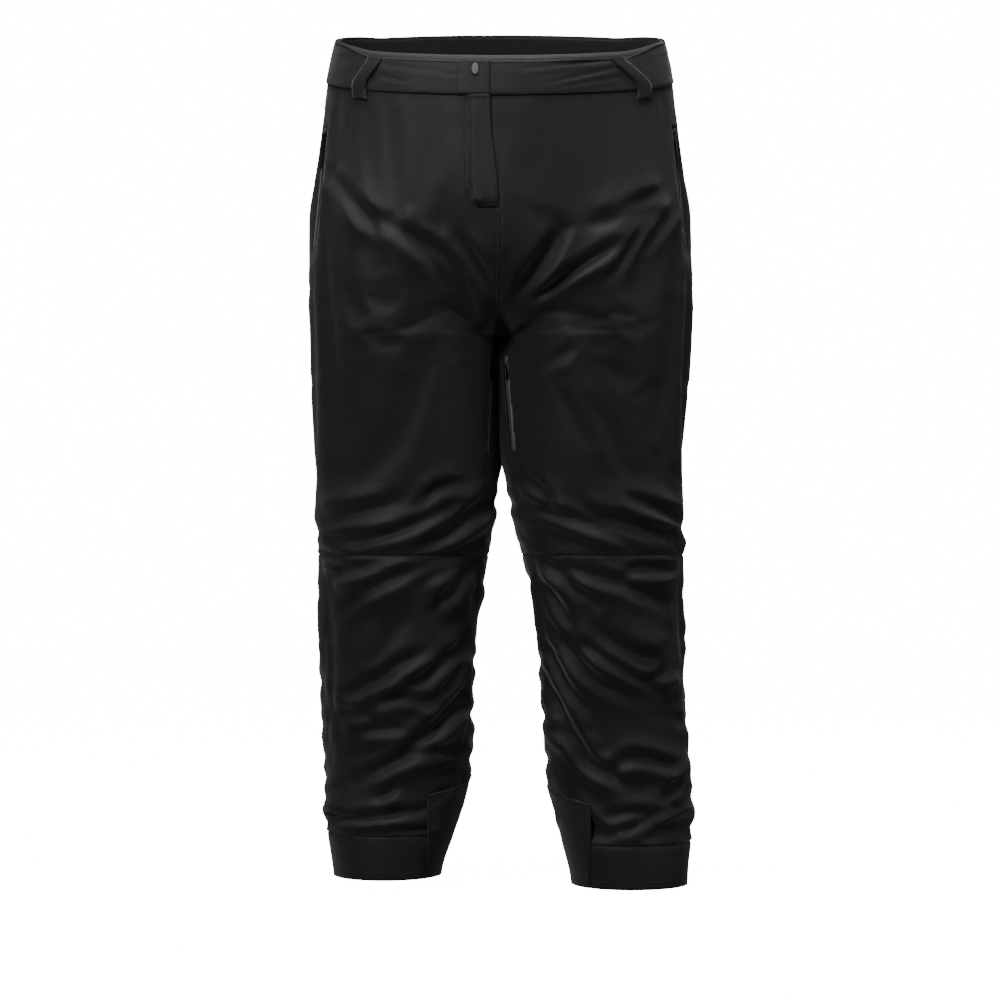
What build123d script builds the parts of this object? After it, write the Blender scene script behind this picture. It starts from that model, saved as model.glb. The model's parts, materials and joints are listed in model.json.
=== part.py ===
from build123d import *
from math import cos, radians, sin, tan
import os

# Ski pants as worn, without the wearer. +X is the wearer's left, -Y is the front, +Z is up.
# The origin is the middle of the waist opening. All lengths are in millimetres.

# ---- overall lengths ----
rise = 376.0                # waist opening down to the crotch
inseam = 690.0              # crotch down to the hem
left_hem_drop = 12.0        # the left leg stands this much lower
waist_tilt = 12.4           # degrees: the front of the waist sits lower than the back

# ---- girths: half widths (x) and half depths (y) ----
waist_half_width = 211.0
waist_half_depth = 124.0
hip_half_width = 249.0
hip_half_depth = 165.0
hip_drop = 237.0            # waist opening down to the widest part of the hips
seat_set_back = 12.0        # the hips' middle lies this far behind the waist's
crotch_round = 70.0         # height of the rounded underside between the legs
leg_gap = 3.0               # between the two legs where they touch in use

# ---- seams, measured down from the crotch ----
thigh_level = 143.0
knee_seam_high = 280.0
knee_seam_low = 474.0

# ---- cloth ----
shell_thickness = 3.0       # outer fabric with its quilted insulation
lining_thickness = 1.0
lining_gap = 0.6            # between the fly's shield and the lining
lining_above_crotch = 12.0  # the lining's lower edge
body_gap = 0.3              # left between soft pieces that move apart
side_seam_y = 8.0
bend_slope = 25.0           # degrees: the hip's fold line rises outwards from the crotch
bend_height = 254.0         # height of the fold zone at the hip

# ---- waistband ----
facing_above_band = 8.0
band_height = 42.0
band_proud = 1.5
band_inner_skin = 1.2
facing_thickness = 1.2
elastic_height = 30.0

# ---- belt loops ----
loop_width = 12.0
loop_gap = 9.0              # room for a belt
loop_thickness = 1.2
loop_foot = 5.0             # sewn down at each end
loop_margin = 0.5           # inside the band's edges
loop_seat = 1.0             # between the loop's feet and the band, which curves
loop_front_x = 168.0
loop_back_right_x = -176.0
loop_back_middle_x = -24.0
loop_back_left_x = 168.0

# ---- snap fastener ----
snap_x = -31.0
snap_below_band_top = 12.0
snap_cap_width = 11.0
snap_cap_height = 17.0
snap_cap_thickness = 2.0
snap_cap_bevel = 1.2
snap_post_radius = 2.0
snap_clearance = 0.3        # round the post
snap_socket_radius = 4.0
snap_socket_thickness = 0.7
snap_base_thickness = 0.4
snap_seat = 0.3             # between each half of the snap and its cloth
snap_gap = 0.4              # between the two halves when closed

# ---- fly ----
# The snap closes between the band and the tab above it, which sets how far the flap stands out.
flap_lift = band_proud + snap_base_thickness + snap_gap + snap_socket_thickness + 2 * snap_seat
flap_thickness = 1.4
flap_hinge_top_x = -52.0
flap_hinge_low_x = -46.0
flap_low_x = -2.5
flap_curve_height = 26.0    # the flap's lower edge curves up to the hinge over this height
flap_edge_top_x = -12.5
flap_low_drop = 222.0
fly_zip_x = -27.0
fly_zip_top_drop = 88.0
fly_zip_low_drop = 204.0
fly_clearance = 1.6         # between the fly's puller and the flap
shield_gap = 0.8            # between the fly's slider and its shield
shield_thickness = 1.2
shield_edge_x = 15.0
edge_gap = 1.0              # from one layer's upper edge to the next under the waistband

# ---- zips ----
zip_width = 12.0
zip_split = 1.2             # between the two tapes
tape_thickness = 0.8
tape_sink = 1.0             # from the cloth's face in to the middle of the tape
coil_width = 1.6
coil_thickness = 1.6
slider_length = 12.0
slider_width = 9.0
plate_thickness = 0.8
zip_clearance = 0.2
web_thickness = 0.7
pin_radius = 0.7
pin_height = 3.6            # from the tape's middle out to the puller's pin
pin_clearance = 0.25
barrel_wall = 0.65
barrel_width = 3.4
post_thickness = 0.7
puller_width = 7.0
puller_thickness = 1.2
puller_neck = 4.0
pocket_puller_length = 40.0
short_puller_length = 18.0
stop_length = 4.0

# The fly's zip lies this much deeper than the others, so that its puller clears the flap.
fly_sink = pin_height - tape_sink + puller_thickness / 2 + fly_clearance - flap_lift
shield_offset = tape_sink + pin_height / 2 + fly_sink + shield_gap
lining_offset = shield_offset + shield_thickness + lining_gap

pocket_zip_top_drop = 108.0
pocket_zip_low_drop = 268.0
pocket_zip_top_y = -36.0
pocket_zip_low_y = -46.0
pocket_bag_thickness = 1.4
pocket_bag_inner_x = 95.0
pocket_bag_offset = 4.6
vent_zip_top = 26.0         # below the crotch
vent_zip_low = 152.0
vent_zip_top_y = -42.0
vent_zip_low_y = -52.0

# ---- lower leg ----
hem_band_height = 55.0
guard_height = 125.0
guard_thickness = 1.3
guard_lift = 0.3            # the guard lies this far off the cloth
guard_slope = 12.0          # degrees: the guard's top edge falls towards the front
guard_reach = 44.0          # from the leg's middle line to the guard's front edge
gaiter_top = 150.0
gaiter_low = 28.0
gaiter_thickness = 1.0
gaiter_clearance = 6.0      # inside the leg at the gaiter's upper edge
gaiter_take_in = 24.0       # how much narrower its lower edge is than the leg
grip_height = 14.0
grip_thickness = 2.5

overrun = 6.0               # cutting shapes pass the cloth by this much
far = 500.0                 # beyond every part of the pants

crotch_z = -rise
hem_z = crotch_z - inseam
SIDES = {"r": -1, "l": 1}
hem_drop = {"r": 0.0, "l": left_hem_drop}

# Torso outline from above the waist down to the underside: level, half width, half depth and
# middle y. The levels beside the waist and the hips follow those two.
torso_levels = [
    (44.0, waist_half_width - 6.0, waist_half_depth - 5.0, 0.0),
    (0.0, waist_half_width, waist_half_depth, 0.0),
    (-0.35 * hip_drop, (waist_half_width + hip_half_width) / 2 - 2.0, 143.0, 4.0),
    (-0.68 * hip_drop, hip_half_width - 10.0, hip_half_depth - 9.0, 8.0),
    (-hip_drop, hip_half_width, hip_half_depth, seat_set_back),
    (crotch_z + crotch_round, hip_half_width - 23.0, hip_half_depth - 15.0, seat_set_back - 1.0),
    (crotch_z + 10.0, hip_half_width - 99.0, hip_half_depth - 61.0, seat_set_back - 3.0),
    (crotch_z, hip_half_width - 149.0, hip_half_depth - 105.0, seat_set_back - 4.0),
]

# The fly flap's outline seen from the front: x and z, up the hinge side and down the open edge.
flap_outline = [
    (flap_edge_top_x, far),
    (flap_hinge_top_x + 1.0, far),
    (flap_hinge_top_x + 1.0, -30.0),
    (flap_hinge_low_x + 1.5, -flap_low_drop + flap_curve_height),
    (flap_hinge_low_x + 7.0, -flap_low_drop + 0.35 * flap_curve_height),
    (flap_hinge_low_x + 19.0, -flap_low_drop),
    (flap_low_x, -flap_low_drop),
    (flap_low_x - 1.5, -185.0),
    (flap_edge_top_x + 1.5, -130.0),
    (flap_edge_top_x, -95.0),
]

# Leg outline from the crotch down: level, outer x and inner x of the right and left legs,
# half depth and middle y. Levels above the calf are heights over the crotch.
upper_leg = [
    (190.0, (226.0, 10.0), (226.0, 10.0), 115.0, 8.0),
    (139.0, (242.0, 6.0), (242.0, 6.0), 132.0, 10.0),
    (70.0, (248.0, 1.5), (248.0, 1.5), 143.0, 10.0),
    (0.0, (243.0, 1.5), (244.0, 1.5), 137.0, 8.0),
    (-thigh_level, (237.0, 1.5), (236.0, 4.0), 120.0, 5.0),
    (-knee_seam_high, (234.0, 14.0), (236.0, 27.0), 105.0, 1.0),
    (-(knee_seam_high + knee_seam_low) / 2, (235.0, 29.0), (238.0, 49.0), 98.0, -3.0),
    (-knee_seam_low, (228.0, 37.0), (240.0, 58.0), 93.0, 1.0),
]
lower_leg = [
    (110.0, (225.0, 48.0), (247.0, 71.0), 93.0, 1.0),
    (45.0, (221.0, 63.0), (245.0, 83.0), 95.0, 0.0),
    (0.0, (213.0, 78.0), (240.0, 94.0), 95.0, 0.0),
]


def save(name, part):
    part.label = name
    export_step(part, f"parts/{name}.step")


def leg_levels(side):
    """Yields each level of one leg as z, middle x, half width, half depth and middle y."""
    sign = SIDES[side]
    for height, right, left, half_depth, middle_y in upper_leg:
        outer, inner = right if side == "r" else left
        yield crotch_z + height, sign * (outer + inner) / 2, (outer - inner) / 2, half_depth, middle_y
    for height, right, left, half_depth, middle_y in lower_leg:
        outer, inner = right if side == "r" else left
        z = hem_z - hem_drop[side] + height
        yield z, sign * (outer + inner) / 2, (outer - inner) / 2, half_depth, middle_y


def leg_solid(side, grow):
    """One leg as a closed solid, grown outwards or shrunk inwards. It runs on past the hem."""
    levels = list(leg_levels(side))
    z, x, half_width, half_depth, y = levels[-1]
    levels.append((z - overrun, x, half_width, half_depth, y))
    with BuildPart() as leg:
        for z, x, half_width, half_depth, y in levels:
            with BuildSketch(Plane.XY.offset(z)):
                with Locations((x, y)):
                    Ellipse(half_width + grow, half_depth + grow)
        loft()
    return leg.part


def torso_solid(grow):
    """The pelvis as a closed solid, from above the waist down to the rounded underside."""
    with BuildPart() as torso:
        for z, half_width, half_depth, y in torso_levels:
            with BuildSketch(Plane.XY.offset(z)):
                with Locations((0, y)):
                    Ellipse(half_width + grow, half_depth + grow)
        loft()
    return torso.part


def garment(grow):
    """The whole outline as one closed solid, which runs on past the hems."""
    with BuildPart() as outline:
        add(torso_solid(grow))
        add(leg_solid("r", grow))
        add(leg_solid("l", grow))
    return outline.part


def hollow(outer, inner):
    """The cloth between two closed outlines."""
    with BuildPart() as cloth:
        add(outer)
        add(inner, mode=Mode.SUBTRACT)
    return cloth.part


def waist_plane(drop):
    """The tilted plane of the waist, moved down by a drop."""
    tilt = radians(waist_tilt)
    return Plane(origin=(0, 0, -drop), x_dir=(1, 0, 0), z_dir=(0, -sin(tilt), cos(tilt)))


def waist_slab(top_drop, low_drop):
    """Everything between two levels of the tilted waist."""
    with BuildPart(waist_plane(low_drop)) as slab:
        height = (low_drop - top_drop) * cos(radians(waist_tilt))
        Box(2 * far, 2 * far, height, align=(Align.CENTER, Align.CENTER, Align.MIN))
    return slab.part


def side_prism(side, top, low, front=None, top_slope=0.0, low_slope=0.0):
    """One side of the pants between two seam lines that rise outwards, front half, back half or both."""
    sign = SIDES[side]
    y_low, y_high = {None: (-far, far), True: (-far, side_seam_y), False: (side_seam_y, far)}[front]
    with BuildPart() as prism:
        with BuildSketch(Plane.XZ.offset(-y_high)):
            with BuildLine():
                Polyline(
                    (0, low),
                    (sign * far, low + far * tan(radians(low_slope))),
                    (sign * far, top + far * tan(radians(top_slope))),
                    (0, top),
                    close=True,
                )
            make_face()
        extrude(amount=y_high - y_low)
    return prism.part


def box_between(low, high):
    """A block between two corners."""
    with BuildPart() as block:
        with Locations(tuple((a + b) / 2 for a, b in zip(low, high))):
            Box(*(b - a for a, b in zip(low, high)))
    return block.part


def cut_piece(name, cloth, keep, remove=()):
    """Keeps the part of a cloth inside every region of keep and outside those of remove."""
    with BuildPart() as piece:
        add(cloth)
        for region in keep:
            add(region, mode=Mode.INTERSECT)
        for region in remove:
            add(region, mode=Mode.SUBTRACT)
    save(name, piece.part)
    return piece.part


def surface_point(solid, start, direction):
    """Where a line from outside first meets a solid, and the solid's outward normal there."""
    points = solid.find_intersection_points(Axis(start, direction))
    nearest = min(points, key=lambda hit: (hit[0] - Vector(*start)).length)
    normal = nearest[1]
    if normal.dot(Vector(*direction)) > 0:
        normal = normal * -1
    return nearest[0], normal


def zip_frame(top, low, outward):
    """A zip's own frame at its lower end: x across, y up along the zip, z outwards."""
    up = (top - low).normalized()
    across = up.cross(outward).normalized()
    return Plane(origin=low, x_dir=across, z_dir=across.cross(up))


def bar(x, y, z, mode=Mode.ADD):
    """A block given by its ranges along the three directions of the open part's frame."""
    with Locations(((x[0] + x[1]) / 2, (y[0] + y[1]) / 2, (z[0] + z[1]) / 2)):
        Box(x[1] - x[0], y[1] - y[0], z[1] - z[0], mode=mode)


def zip_slot(frame, length):
    """The opening that a zip fills."""
    with BuildPart(frame) as slot:
        bar((-zip_width / 2, zip_width / 2), (0, length), (-overrun, overrun))
    return slot.part


def zip_tape(frame, length):
    """The two tapes, side by side with a narrow split."""
    with BuildPart(frame) as tape:
        for hand in (-1, 1):
            edges = sorted((hand * zip_split / 2, hand * zip_width / 2))
            half = tape_thickness / 2
            bar(edges, (0, length), (-tape_sink - half, -tape_sink - zip_clearance / 2 + half))
    return tape.part


def zip_coil(frame, length):
    """The two coils on the tapes' edges, joined by the bottom stop."""
    half = coil_thickness / 2
    above = (-tape_sink + tape_thickness / 2, -tape_sink + half)
    below = (-tape_sink - half, -tape_sink - tape_thickness / 2)
    with BuildPart(frame) as coil:
        for hand in (-1, 1):
            edges = sorted((hand * zip_split / 2, hand * (zip_split / 2 + coil_width)))
            for depth in (above, below):
                bar(edges, (stop_length, length - stop_length), depth)
        reach = zip_split / 2 + coil_width
        bar((-reach, reach), (0, stop_length), above)
        bar((-reach, reach), (0, stop_length), below)
    return coil.part


def slider_body(frame, middle):
    """Two plates joined by a web that runs in the split, with a bridge for the puller."""
    inner = coil_thickness / 2 + zip_clearance
    outer = inner + plate_thickness
    half_width = slider_width / 2
    ends = (middle - slider_length / 2, middle + slider_length / 2)
    post_inner = barrel_width / 2 + 0.15
    with BuildPart(frame) as slider:
        bar((-half_width, half_width), ends, (-tape_sink + inner, -tape_sink + outer))
        bar((-half_width, half_width), ends, (-tape_sink - outer, -tape_sink - inner))
        web = (middle - slider_length / 4, middle + slider_length / 4)
        bar((-web_thickness / 2, web_thickness / 2), web, (-tape_sink - inner, -tape_sink + inner))
        for hand in (-1, 1):
            posts = sorted((hand * post_inner, hand * (post_inner + post_thickness)))
            bar(posts, (middle - 1.2, middle + 1.2), (-tape_sink + outer, -tape_sink + pin_height + 1.0))
        with Locations((0, middle, -tape_sink + pin_height)):
            Cylinder(pin_radius, 2 * post_inner, rotation=(0, 90, 0))
    return slider.part


def puller(frame, middle, length):
    """A flat tab with a barrel that turns on the slider's pin. It hangs down along the zip."""
    z = -tape_sink + pin_height
    hole = pin_radius + pin_clearance
    half = puller_thickness / 2
    with BuildPart(frame) as tab:
        with Locations((0, middle, z)):
            Cylinder(hole + barrel_wall, barrel_width, rotation=(0, 90, 0))
        bar((-barrel_width / 2, barrel_width / 2), (middle - puller_neck, middle), (z - half, z + half))
        bar(
            (-puller_width / 2, puller_width / 2),
            (middle - length, middle - puller_neck),
            (z - half, z + half),
        )
        with Locations((0, middle, z)):
            Cylinder(hole, 2 * puller_width, rotation=(0, 90, 0), mode=Mode.SUBTRACT)
    return tab.part


def closed_slider_place(length):
    """The slider's middle along its zip when the zip is closed."""
    return length - 2 * stop_length - slider_length / 2


def make_zip(prefix, frame, length, puller_length):
    """Writes a zip's tape, coil, slider and puller."""
    middle = closed_slider_place(length)
    save(f"{prefix}_tape", zip_tape(frame, length))
    save(f"{prefix}_coil", zip_coil(frame, length))
    save(f"{prefix}_slider", slider_body(frame, middle))
    save(f"{prefix}_puller", puller(frame, middle, puller_length))


def pocket_zip_frame(side, outline):
    """The hand pocket's zip, near the side seam."""
    sign = SIDES[side]
    ends = [
        surface_point(outline, (sign * far, y, -drop), (-sign, 0, 0))
        for y, drop in (
            (pocket_zip_top_y, pocket_zip_top_drop),
            (pocket_zip_low_y, pocket_zip_low_drop),
        )
    ]
    frame = zip_frame(ends[0][0], ends[1][0], ends[0][1] + ends[1][1])
    return frame, (ends[0][0] - ends[1][0]).length


def fly_zip_frame(torso):
    """The fly's zip, under the flap."""
    ends = [
        surface_point(torso, (fly_zip_x, -far, -drop), (0, 1, 0))
        for drop in (fly_zip_top_drop, fly_zip_low_drop)
    ]
    frame = zip_frame(ends[0][0], ends[1][0], ends[0][1] + ends[1][1])
    return frame.offset(-fly_sink), (ends[0][0] - ends[1][0]).length


def vent_zip_frame(side, leg):
    """The thigh vent's zip, on the inner side of a leg."""
    sign = SIDES[side]
    ends = [
        surface_point(leg, (-sign * far, y, crotch_z - drop), (sign, 0, 0))
        for y, drop in ((vent_zip_top_y, vent_zip_top), (vent_zip_low_y, vent_zip_low))
    ]
    frame = zip_frame(ends[0][0], ends[1][0], ends[0][1] + ends[1][1])
    return frame, (ends[0][0] - ends[1][0]).length


def flap_region():
    """The long corner of the fly that turns open, seen from the front."""
    with BuildPart() as region:
        with BuildSketch(Plane.XZ):
            with BuildLine():
                Polyline(*flap_outline, close=True)
            make_face()
        extrude(amount=far)
    return region.part


def belt_loop(frame):
    """A strap over the waistband, held at its two ends."""
    half = band_height / 2 - loop_margin
    with BuildPart(frame) as loop:
        bar((-loop_width / 2, loop_width / 2), (-half, half), (loop_seat, loop_gap + loop_thickness))
        inside = half - loop_foot
        bar((-loop_width, loop_width), (-inside, inside), (-1, loop_gap), mode=Mode.SUBTRACT)
    return loop.part


def band_frame(solid, x, front):
    """A frame on the waistband's middle line: x along the band, y up, z outwards."""
    sign = -1 if front else 1
    drop = facing_above_band + band_height / 2
    z = sign * waist_half_depth * tan(radians(waist_tilt)) - drop
    point, normal = surface_point(solid, (x, sign * far, z), (0, -sign, 0))
    z = point.Y * tan(radians(waist_tilt)) - drop
    point, normal = surface_point(solid, (x, sign * far, z), (0, -sign, 0))
    return Plane(origin=point, x_dir=Vector(0, 0, 1).cross(normal), z_dir=normal)


def make_shell(torso, shell, zips):
    """The outer panels: hips, fold zones, thighs, knees and lower legs, each front and back."""
    band_low = facing_above_band + band_height
    below_band = waist_slab(band_low, band_low + 2 * far)
    slope = {"top_slope": bend_slope, "low_slope": bend_slope}
    thigh_top = crotch_z - bend_height - body_gap
    knee_high = crotch_z - knee_seam_high
    knee_low = crotch_z - knee_seam_low
    for side in SIDES:
        band_top = hem_z - hem_drop[side] + hem_band_height
        hem = hem_z - hem_drop[side]
        for front in (True, False):
            word = "front" if front else "back"
            hips = side_prism(side, far, crotch_z, front, 0.0, bend_slope)
            cut_piece(f"{word}_panel_{side}", shell, (hips, below_band), zips)
            thigh = side_prism(side, thigh_top, knee_high, front, bend_slope)
            cut_piece(f"{word}_thigh_{side}", shell, (thigh,))
            knee = side_prism(side, knee_high, knee_low + body_gap, front)
            cut_piece(f"{word}_knee_{side}", shell, (knee,))
            shin = side_prism(side, knee_low, band_top, front)
            cut_piece(f"{word}_shin_{side}", shell, (shin,))
        fold = side_prism(side, crotch_z, crotch_z - bend_height, None, **slope)
        cut_piece(f"hip_fold_{side}", shell, (fold,), zips)
        cut_piece(f"hem_band_{side}", shell, (side_prism(side, band_top, hem),))


def make_lower_leg_trim():
    """Scuff guards outside the ankles, and the snow gaiters with their grips inside the hems."""
    for side, sign in SIDES.items():
        levels = list(leg_levels(side))
        hem = levels[-1]
        guard_cloth = hollow(
            leg_solid(side, guard_lift + guard_thickness),
            leg_solid(side, guard_lift),
        )
        middle = sign * abs(levels[-3][1])
        top = hem[0] + guard_height
        with BuildPart() as region:
            with BuildSketch(Plane.XZ.offset(-far)):
                edge = middle - sign * guard_reach
                with BuildLine():
                    Polyline(
                        (edge, hem[0]),
                        (edge, top - 2 * guard_reach * tan(radians(guard_slope))),
                        (edge - sign * 2 * guard_reach, top),
                        (edge - sign * far, top),
                        (edge - sign * far, hem[0]),
                        close=True,
                    )
                make_face()
            extrude(amount=2 * far)
        cut_piece(f"scuff_guard_{side}", guard_cloth, (region.part,))

        half_width = hem[2] - shell_thickness - gaiter_take_in
        half_depth = hem[3] - shell_thickness - gaiter_take_in
        top_half_width = levels[-3][2] - shell_thickness - gaiter_clearance
        top_half_depth = levels[-3][3] - shell_thickness - gaiter_clearance
        with BuildPart() as gaiter:
            for thickness, mode in ((0.0, Mode.ADD), (gaiter_thickness, Mode.SUBTRACT)):
                with BuildSketch(Plane.XY.offset(hem[0] + gaiter_top)) as upper:
                    with Locations((levels[-3][1], levels[-3][4])):
                        Ellipse(top_half_width - thickness, top_half_depth - thickness)
                with BuildSketch(Plane.XY.offset(hem[0] + gaiter_low)) as lower:
                    with Locations((hem[1], hem[4])):
                        Ellipse(half_width - thickness, half_depth - thickness)
                loft([upper.sketch, lower.sketch], mode=mode)
        save(f"gaiter_{side}", gaiter.part)

        with BuildPart() as grip:
            with BuildSketch(Plane.XY.offset(hem[0] + gaiter_low - grip_height)):
                with Locations((hem[1], hem[4])):
                    Ellipse(half_width, half_depth)
                    Ellipse(half_width - grip_thickness, half_depth - grip_thickness, mode=Mode.SUBTRACT)
            extrude(amount=grip_height)
        save(f"gaiter_grip_{side}", grip.part)


def make_waistband(torso):
    """Waistband in three lengths, the facing inside it, the back elastic and the belt loops."""
    low = facing_above_band + band_height
    band = waist_slab(facing_above_band, low)
    outer = torso_solid(band_proud)
    full = hollow(outer, torso_solid(-shell_thickness))
    skin = hollow(outer, torso_solid(-band_inner_skin))
    front = (-far, -far, -far), (flap_hinge_top_x, side_seam_y, far)
    cut_piece("waistband_front_r", full, (band, box_between(*front)))
    front = (flap_hinge_top_x, -far, -far), (far, side_seam_y, far)
    cut_piece("waistband_front_l", full, (band, box_between(*front)))
    back = box_between((-far, side_seam_y, -far), (far, far, far))
    cut_piece("waistband_back", skin, (band, back))
    margin = (band_height - elastic_height) / 2
    core = hollow(torso_solid(-band_inner_skin), torso_solid(-shell_thickness))
    elastic_slab = waist_slab(facing_above_band + margin, low - margin)
    behind = box_between((-far, 2 * side_seam_y, -far), (far, far, far))
    cut_piece("waist_elastic", core, (elastic_slab, behind))
    inner = hollow(torso_solid(-shell_thickness), torso_solid(-shell_thickness - facing_thickness))
    cut_piece("waist_facing", inner, (waist_slab(0.0, low),))

    save("belt_loop_front_r", belt_loop(band_frame(outer, -loop_front_x, True)))
    save("belt_loop_front_l", belt_loop(band_frame(outer, loop_front_x, True)))
    with BuildPart() as loops:
        for x in (loop_back_right_x, loop_back_middle_x, loop_back_left_x):
            add(belt_loop(band_frame(outer, x, False)))
    save("belt_loops_back", loops.part)


def make_fly(torso, frame, length):
    """The flap over the fly, the waist tab above it, the zip, the shield behind and the snap."""
    low = facing_above_band + band_height
    layer = hollow(torso_solid(flap_lift + flap_thickness), torso_solid(flap_lift))
    region = flap_region()
    cut_piece("fly_flap", layer, (region, waist_slab(low, low + far)))
    tab = cut_piece("waist_tab", layer, (region, waist_slab(facing_above_band, low)))
    make_zip("fly", frame, length, short_puller_length)

    shield_cloth = hollow(torso_solid(-shield_offset), torso_solid(-shield_offset - shield_thickness))
    shield = box_between((flap_hinge_top_x, -far, -flap_low_drop), (shield_edge_x, 0, far))
    cut_piece("fly_shield", shield_cloth, (shield, waist_slab(low + edge_gap, far)))

    drop = facing_above_band + snap_below_band_top
    z = -waist_half_depth * tan(radians(waist_tilt)) - drop
    point, normal = surface_point(tab, (snap_x, -far, z), (0, 1, 0))
    face = Plane(origin=point, x_dir=Vector(0, 0, 1).cross(normal), z_dir=normal)
    with BuildPart() as cap:
        with BuildSketch(face):
            Ellipse(snap_cap_width / 2, snap_cap_height / 2)
        with BuildSketch(face.offset(snap_cap_thickness)):
            Ellipse(snap_cap_width / 2 - snap_cap_bevel, snap_cap_height / 2 - snap_cap_bevel)
        loft()
    save("snap_cap", cap.part)
    upright = (Align.CENTER, Align.CENTER, Align.MIN)
    behind = -flap_thickness - snap_seat
    band_face = -flap_thickness - flap_lift + band_proud + snap_seat
    with BuildPart(face.offset(behind - snap_socket_thickness)) as socket:
        Cylinder(snap_socket_radius, snap_socket_thickness, align=upright)
        Cylinder(snap_post_radius + snap_clearance, 2 * overrun, mode=Mode.SUBTRACT)
    save("snap_socket", socket.part)
    with BuildPart(face.offset(band_face)) as stud:
        Cylinder(snap_socket_radius, snap_base_thickness, align=upright)
        Cylinder(snap_post_radius, behind - band_face - snap_seat, align=upright)
    save("snap_stud", stud.part)


def make_pockets(frames):
    """The hand pockets: zips and the flat bags behind them."""
    layer = hollow(
        garment(-pocket_bag_offset),
        garment(-pocket_bag_offset - pocket_bag_thickness),
    )
    for side, sign in SIDES.items():
        frame, length = frames[side]
        make_zip(f"pocket_{side}", frame, length, pocket_puller_length)
        near, deep = sorted((sign * pocket_bag_inner_x, sign * far))
        bag = box_between(
            (near, -far, -pocket_zip_low_drop),
            (deep, pocket_zip_low_y - zip_width / 2, -pocket_zip_top_drop),
        )
        cut_piece(f"pocket_bag_{side}", layer, (bag,))


def make_vents(frames):
    """The thigh vents: each zip's tape with its coil, and its slider with a short puller."""
    for side in SIDES:
        frame, length = frames[side]
        middle = closed_slider_place(length)
        with BuildPart() as strip:
            add(zip_tape(frame, length))
            add(zip_coil(frame, length))
        save(f"vent_zip_{side}", strip.part)
        with BuildPart() as slider:
            add(slider_body(frame, middle))
            add(puller(frame, middle, short_puller_length))
        save(f"vent_slider_{side}", slider.part)


def make_lining():
    """The lining of the hips, inside the pocket bags and the fly shield."""
    cloth = hollow(garment(-lining_offset), garment(-lining_offset - lining_thickness))
    low = facing_above_band + band_height
    region = []
    with BuildPart() as hips:
        for side in SIDES:
            add(side_prism(side, far, crotch_z + lining_above_crotch, None, 0.0, bend_slope))
    region.append(hips.part)
    region.append(waist_slab(low + 2 * edge_gap, 2 * far))
    cut_piece("seat_lining", cloth, region)


def main():
    os.makedirs("parts", exist_ok=True)
    torso = torso_solid(0.0)
    outline = garment(0.0)
    shell = hollow(outline, garment(-shell_thickness))
    pocket_frames = {side: pocket_zip_frame(side, outline) for side in SIDES}
    vent_frames = {side: vent_zip_frame(side, leg_solid(side, 0.0)) for side in SIDES}
    fly_frame, fly_length = fly_zip_frame(torso)
    slots = [zip_slot(*pocket_frames[side]) for side in SIDES]
    slots += [zip_slot(*vent_frames[side]) for side in SIDES]
    slots.append(zip_slot(fly_frame, fly_length))
    make_shell(torso, shell, slots)
    make_lower_leg_trim()
    make_waistband(torso)
    make_fly(torso, fly_frame, fly_length)
    make_pockets(pocket_frames)
    make_vents(vent_frames)
    make_lining()


main()
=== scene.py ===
import json
import math

import bmesh
import bpy
import numpy as np
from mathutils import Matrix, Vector, noise
from mathutils.bvhtree import BVHTree


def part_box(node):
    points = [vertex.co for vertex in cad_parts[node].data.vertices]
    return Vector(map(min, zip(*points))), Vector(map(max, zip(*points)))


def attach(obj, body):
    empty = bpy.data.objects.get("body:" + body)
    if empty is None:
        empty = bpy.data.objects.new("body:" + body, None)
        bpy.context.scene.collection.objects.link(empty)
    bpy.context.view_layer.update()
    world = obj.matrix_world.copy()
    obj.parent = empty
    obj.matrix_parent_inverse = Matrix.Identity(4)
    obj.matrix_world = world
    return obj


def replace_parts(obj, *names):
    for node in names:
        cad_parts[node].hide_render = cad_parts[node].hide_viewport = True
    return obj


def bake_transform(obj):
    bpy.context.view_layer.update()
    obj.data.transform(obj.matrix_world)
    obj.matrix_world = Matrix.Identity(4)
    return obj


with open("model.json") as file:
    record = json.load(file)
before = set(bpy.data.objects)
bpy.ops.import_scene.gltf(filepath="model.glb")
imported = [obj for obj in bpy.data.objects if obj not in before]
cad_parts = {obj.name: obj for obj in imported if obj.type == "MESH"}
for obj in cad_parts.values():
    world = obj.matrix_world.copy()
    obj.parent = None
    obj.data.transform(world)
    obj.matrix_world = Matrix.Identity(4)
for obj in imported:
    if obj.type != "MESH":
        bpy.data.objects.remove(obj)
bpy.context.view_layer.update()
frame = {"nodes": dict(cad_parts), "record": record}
MM = 0.001

# ================================================================ measures from the frame
SIGN = {"r": -1.0, "l": 1.0}
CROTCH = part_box("front_panel_r")[0][2]
KNEE_TOP = {s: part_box(f"front_knee_{s}")[1][2] for s in SIGN}
HEM = {s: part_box(f"hem_band_{s}")[0][2] for s in SIGN}
HEM_SEAM = {s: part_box(f"hem_band_{s}")[1][2] for s in SIGN}
SHELL_NODES = ("front_panel", "back_panel", "hip_fold", "front_thigh", "back_thigh",
               "front_knee", "back_knee", "front_shin", "back_shin", "hem_band")
TILT = math.tan(math.radians(12.4))      # the waist's plane is z = TILT * y
BAND_TOP, BAND_LOW = 0.008, 0.050        # the band's edges, measured down from that plane
CLOTH = 0.0032                           # the shell's thickness
SLICE_TOP = -0.10                        # the CAD cloth is measured from here down
EVENED = (1, 2, 3, 4, 3, 4)              # outline columns to even out, the front and back ones twice
HIP_FULL, HIP_Z, HIP_SPREAD = 0.0045, -0.225, 0.085      # how far the hips bulge, where, and over what height
GRID_STEP = 0.0072                       # distance between rows of the base grid


def joint(name):
    return next(j for j in frame["record"]["behaviour"]["joints"] if j["name"] == name)


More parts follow.
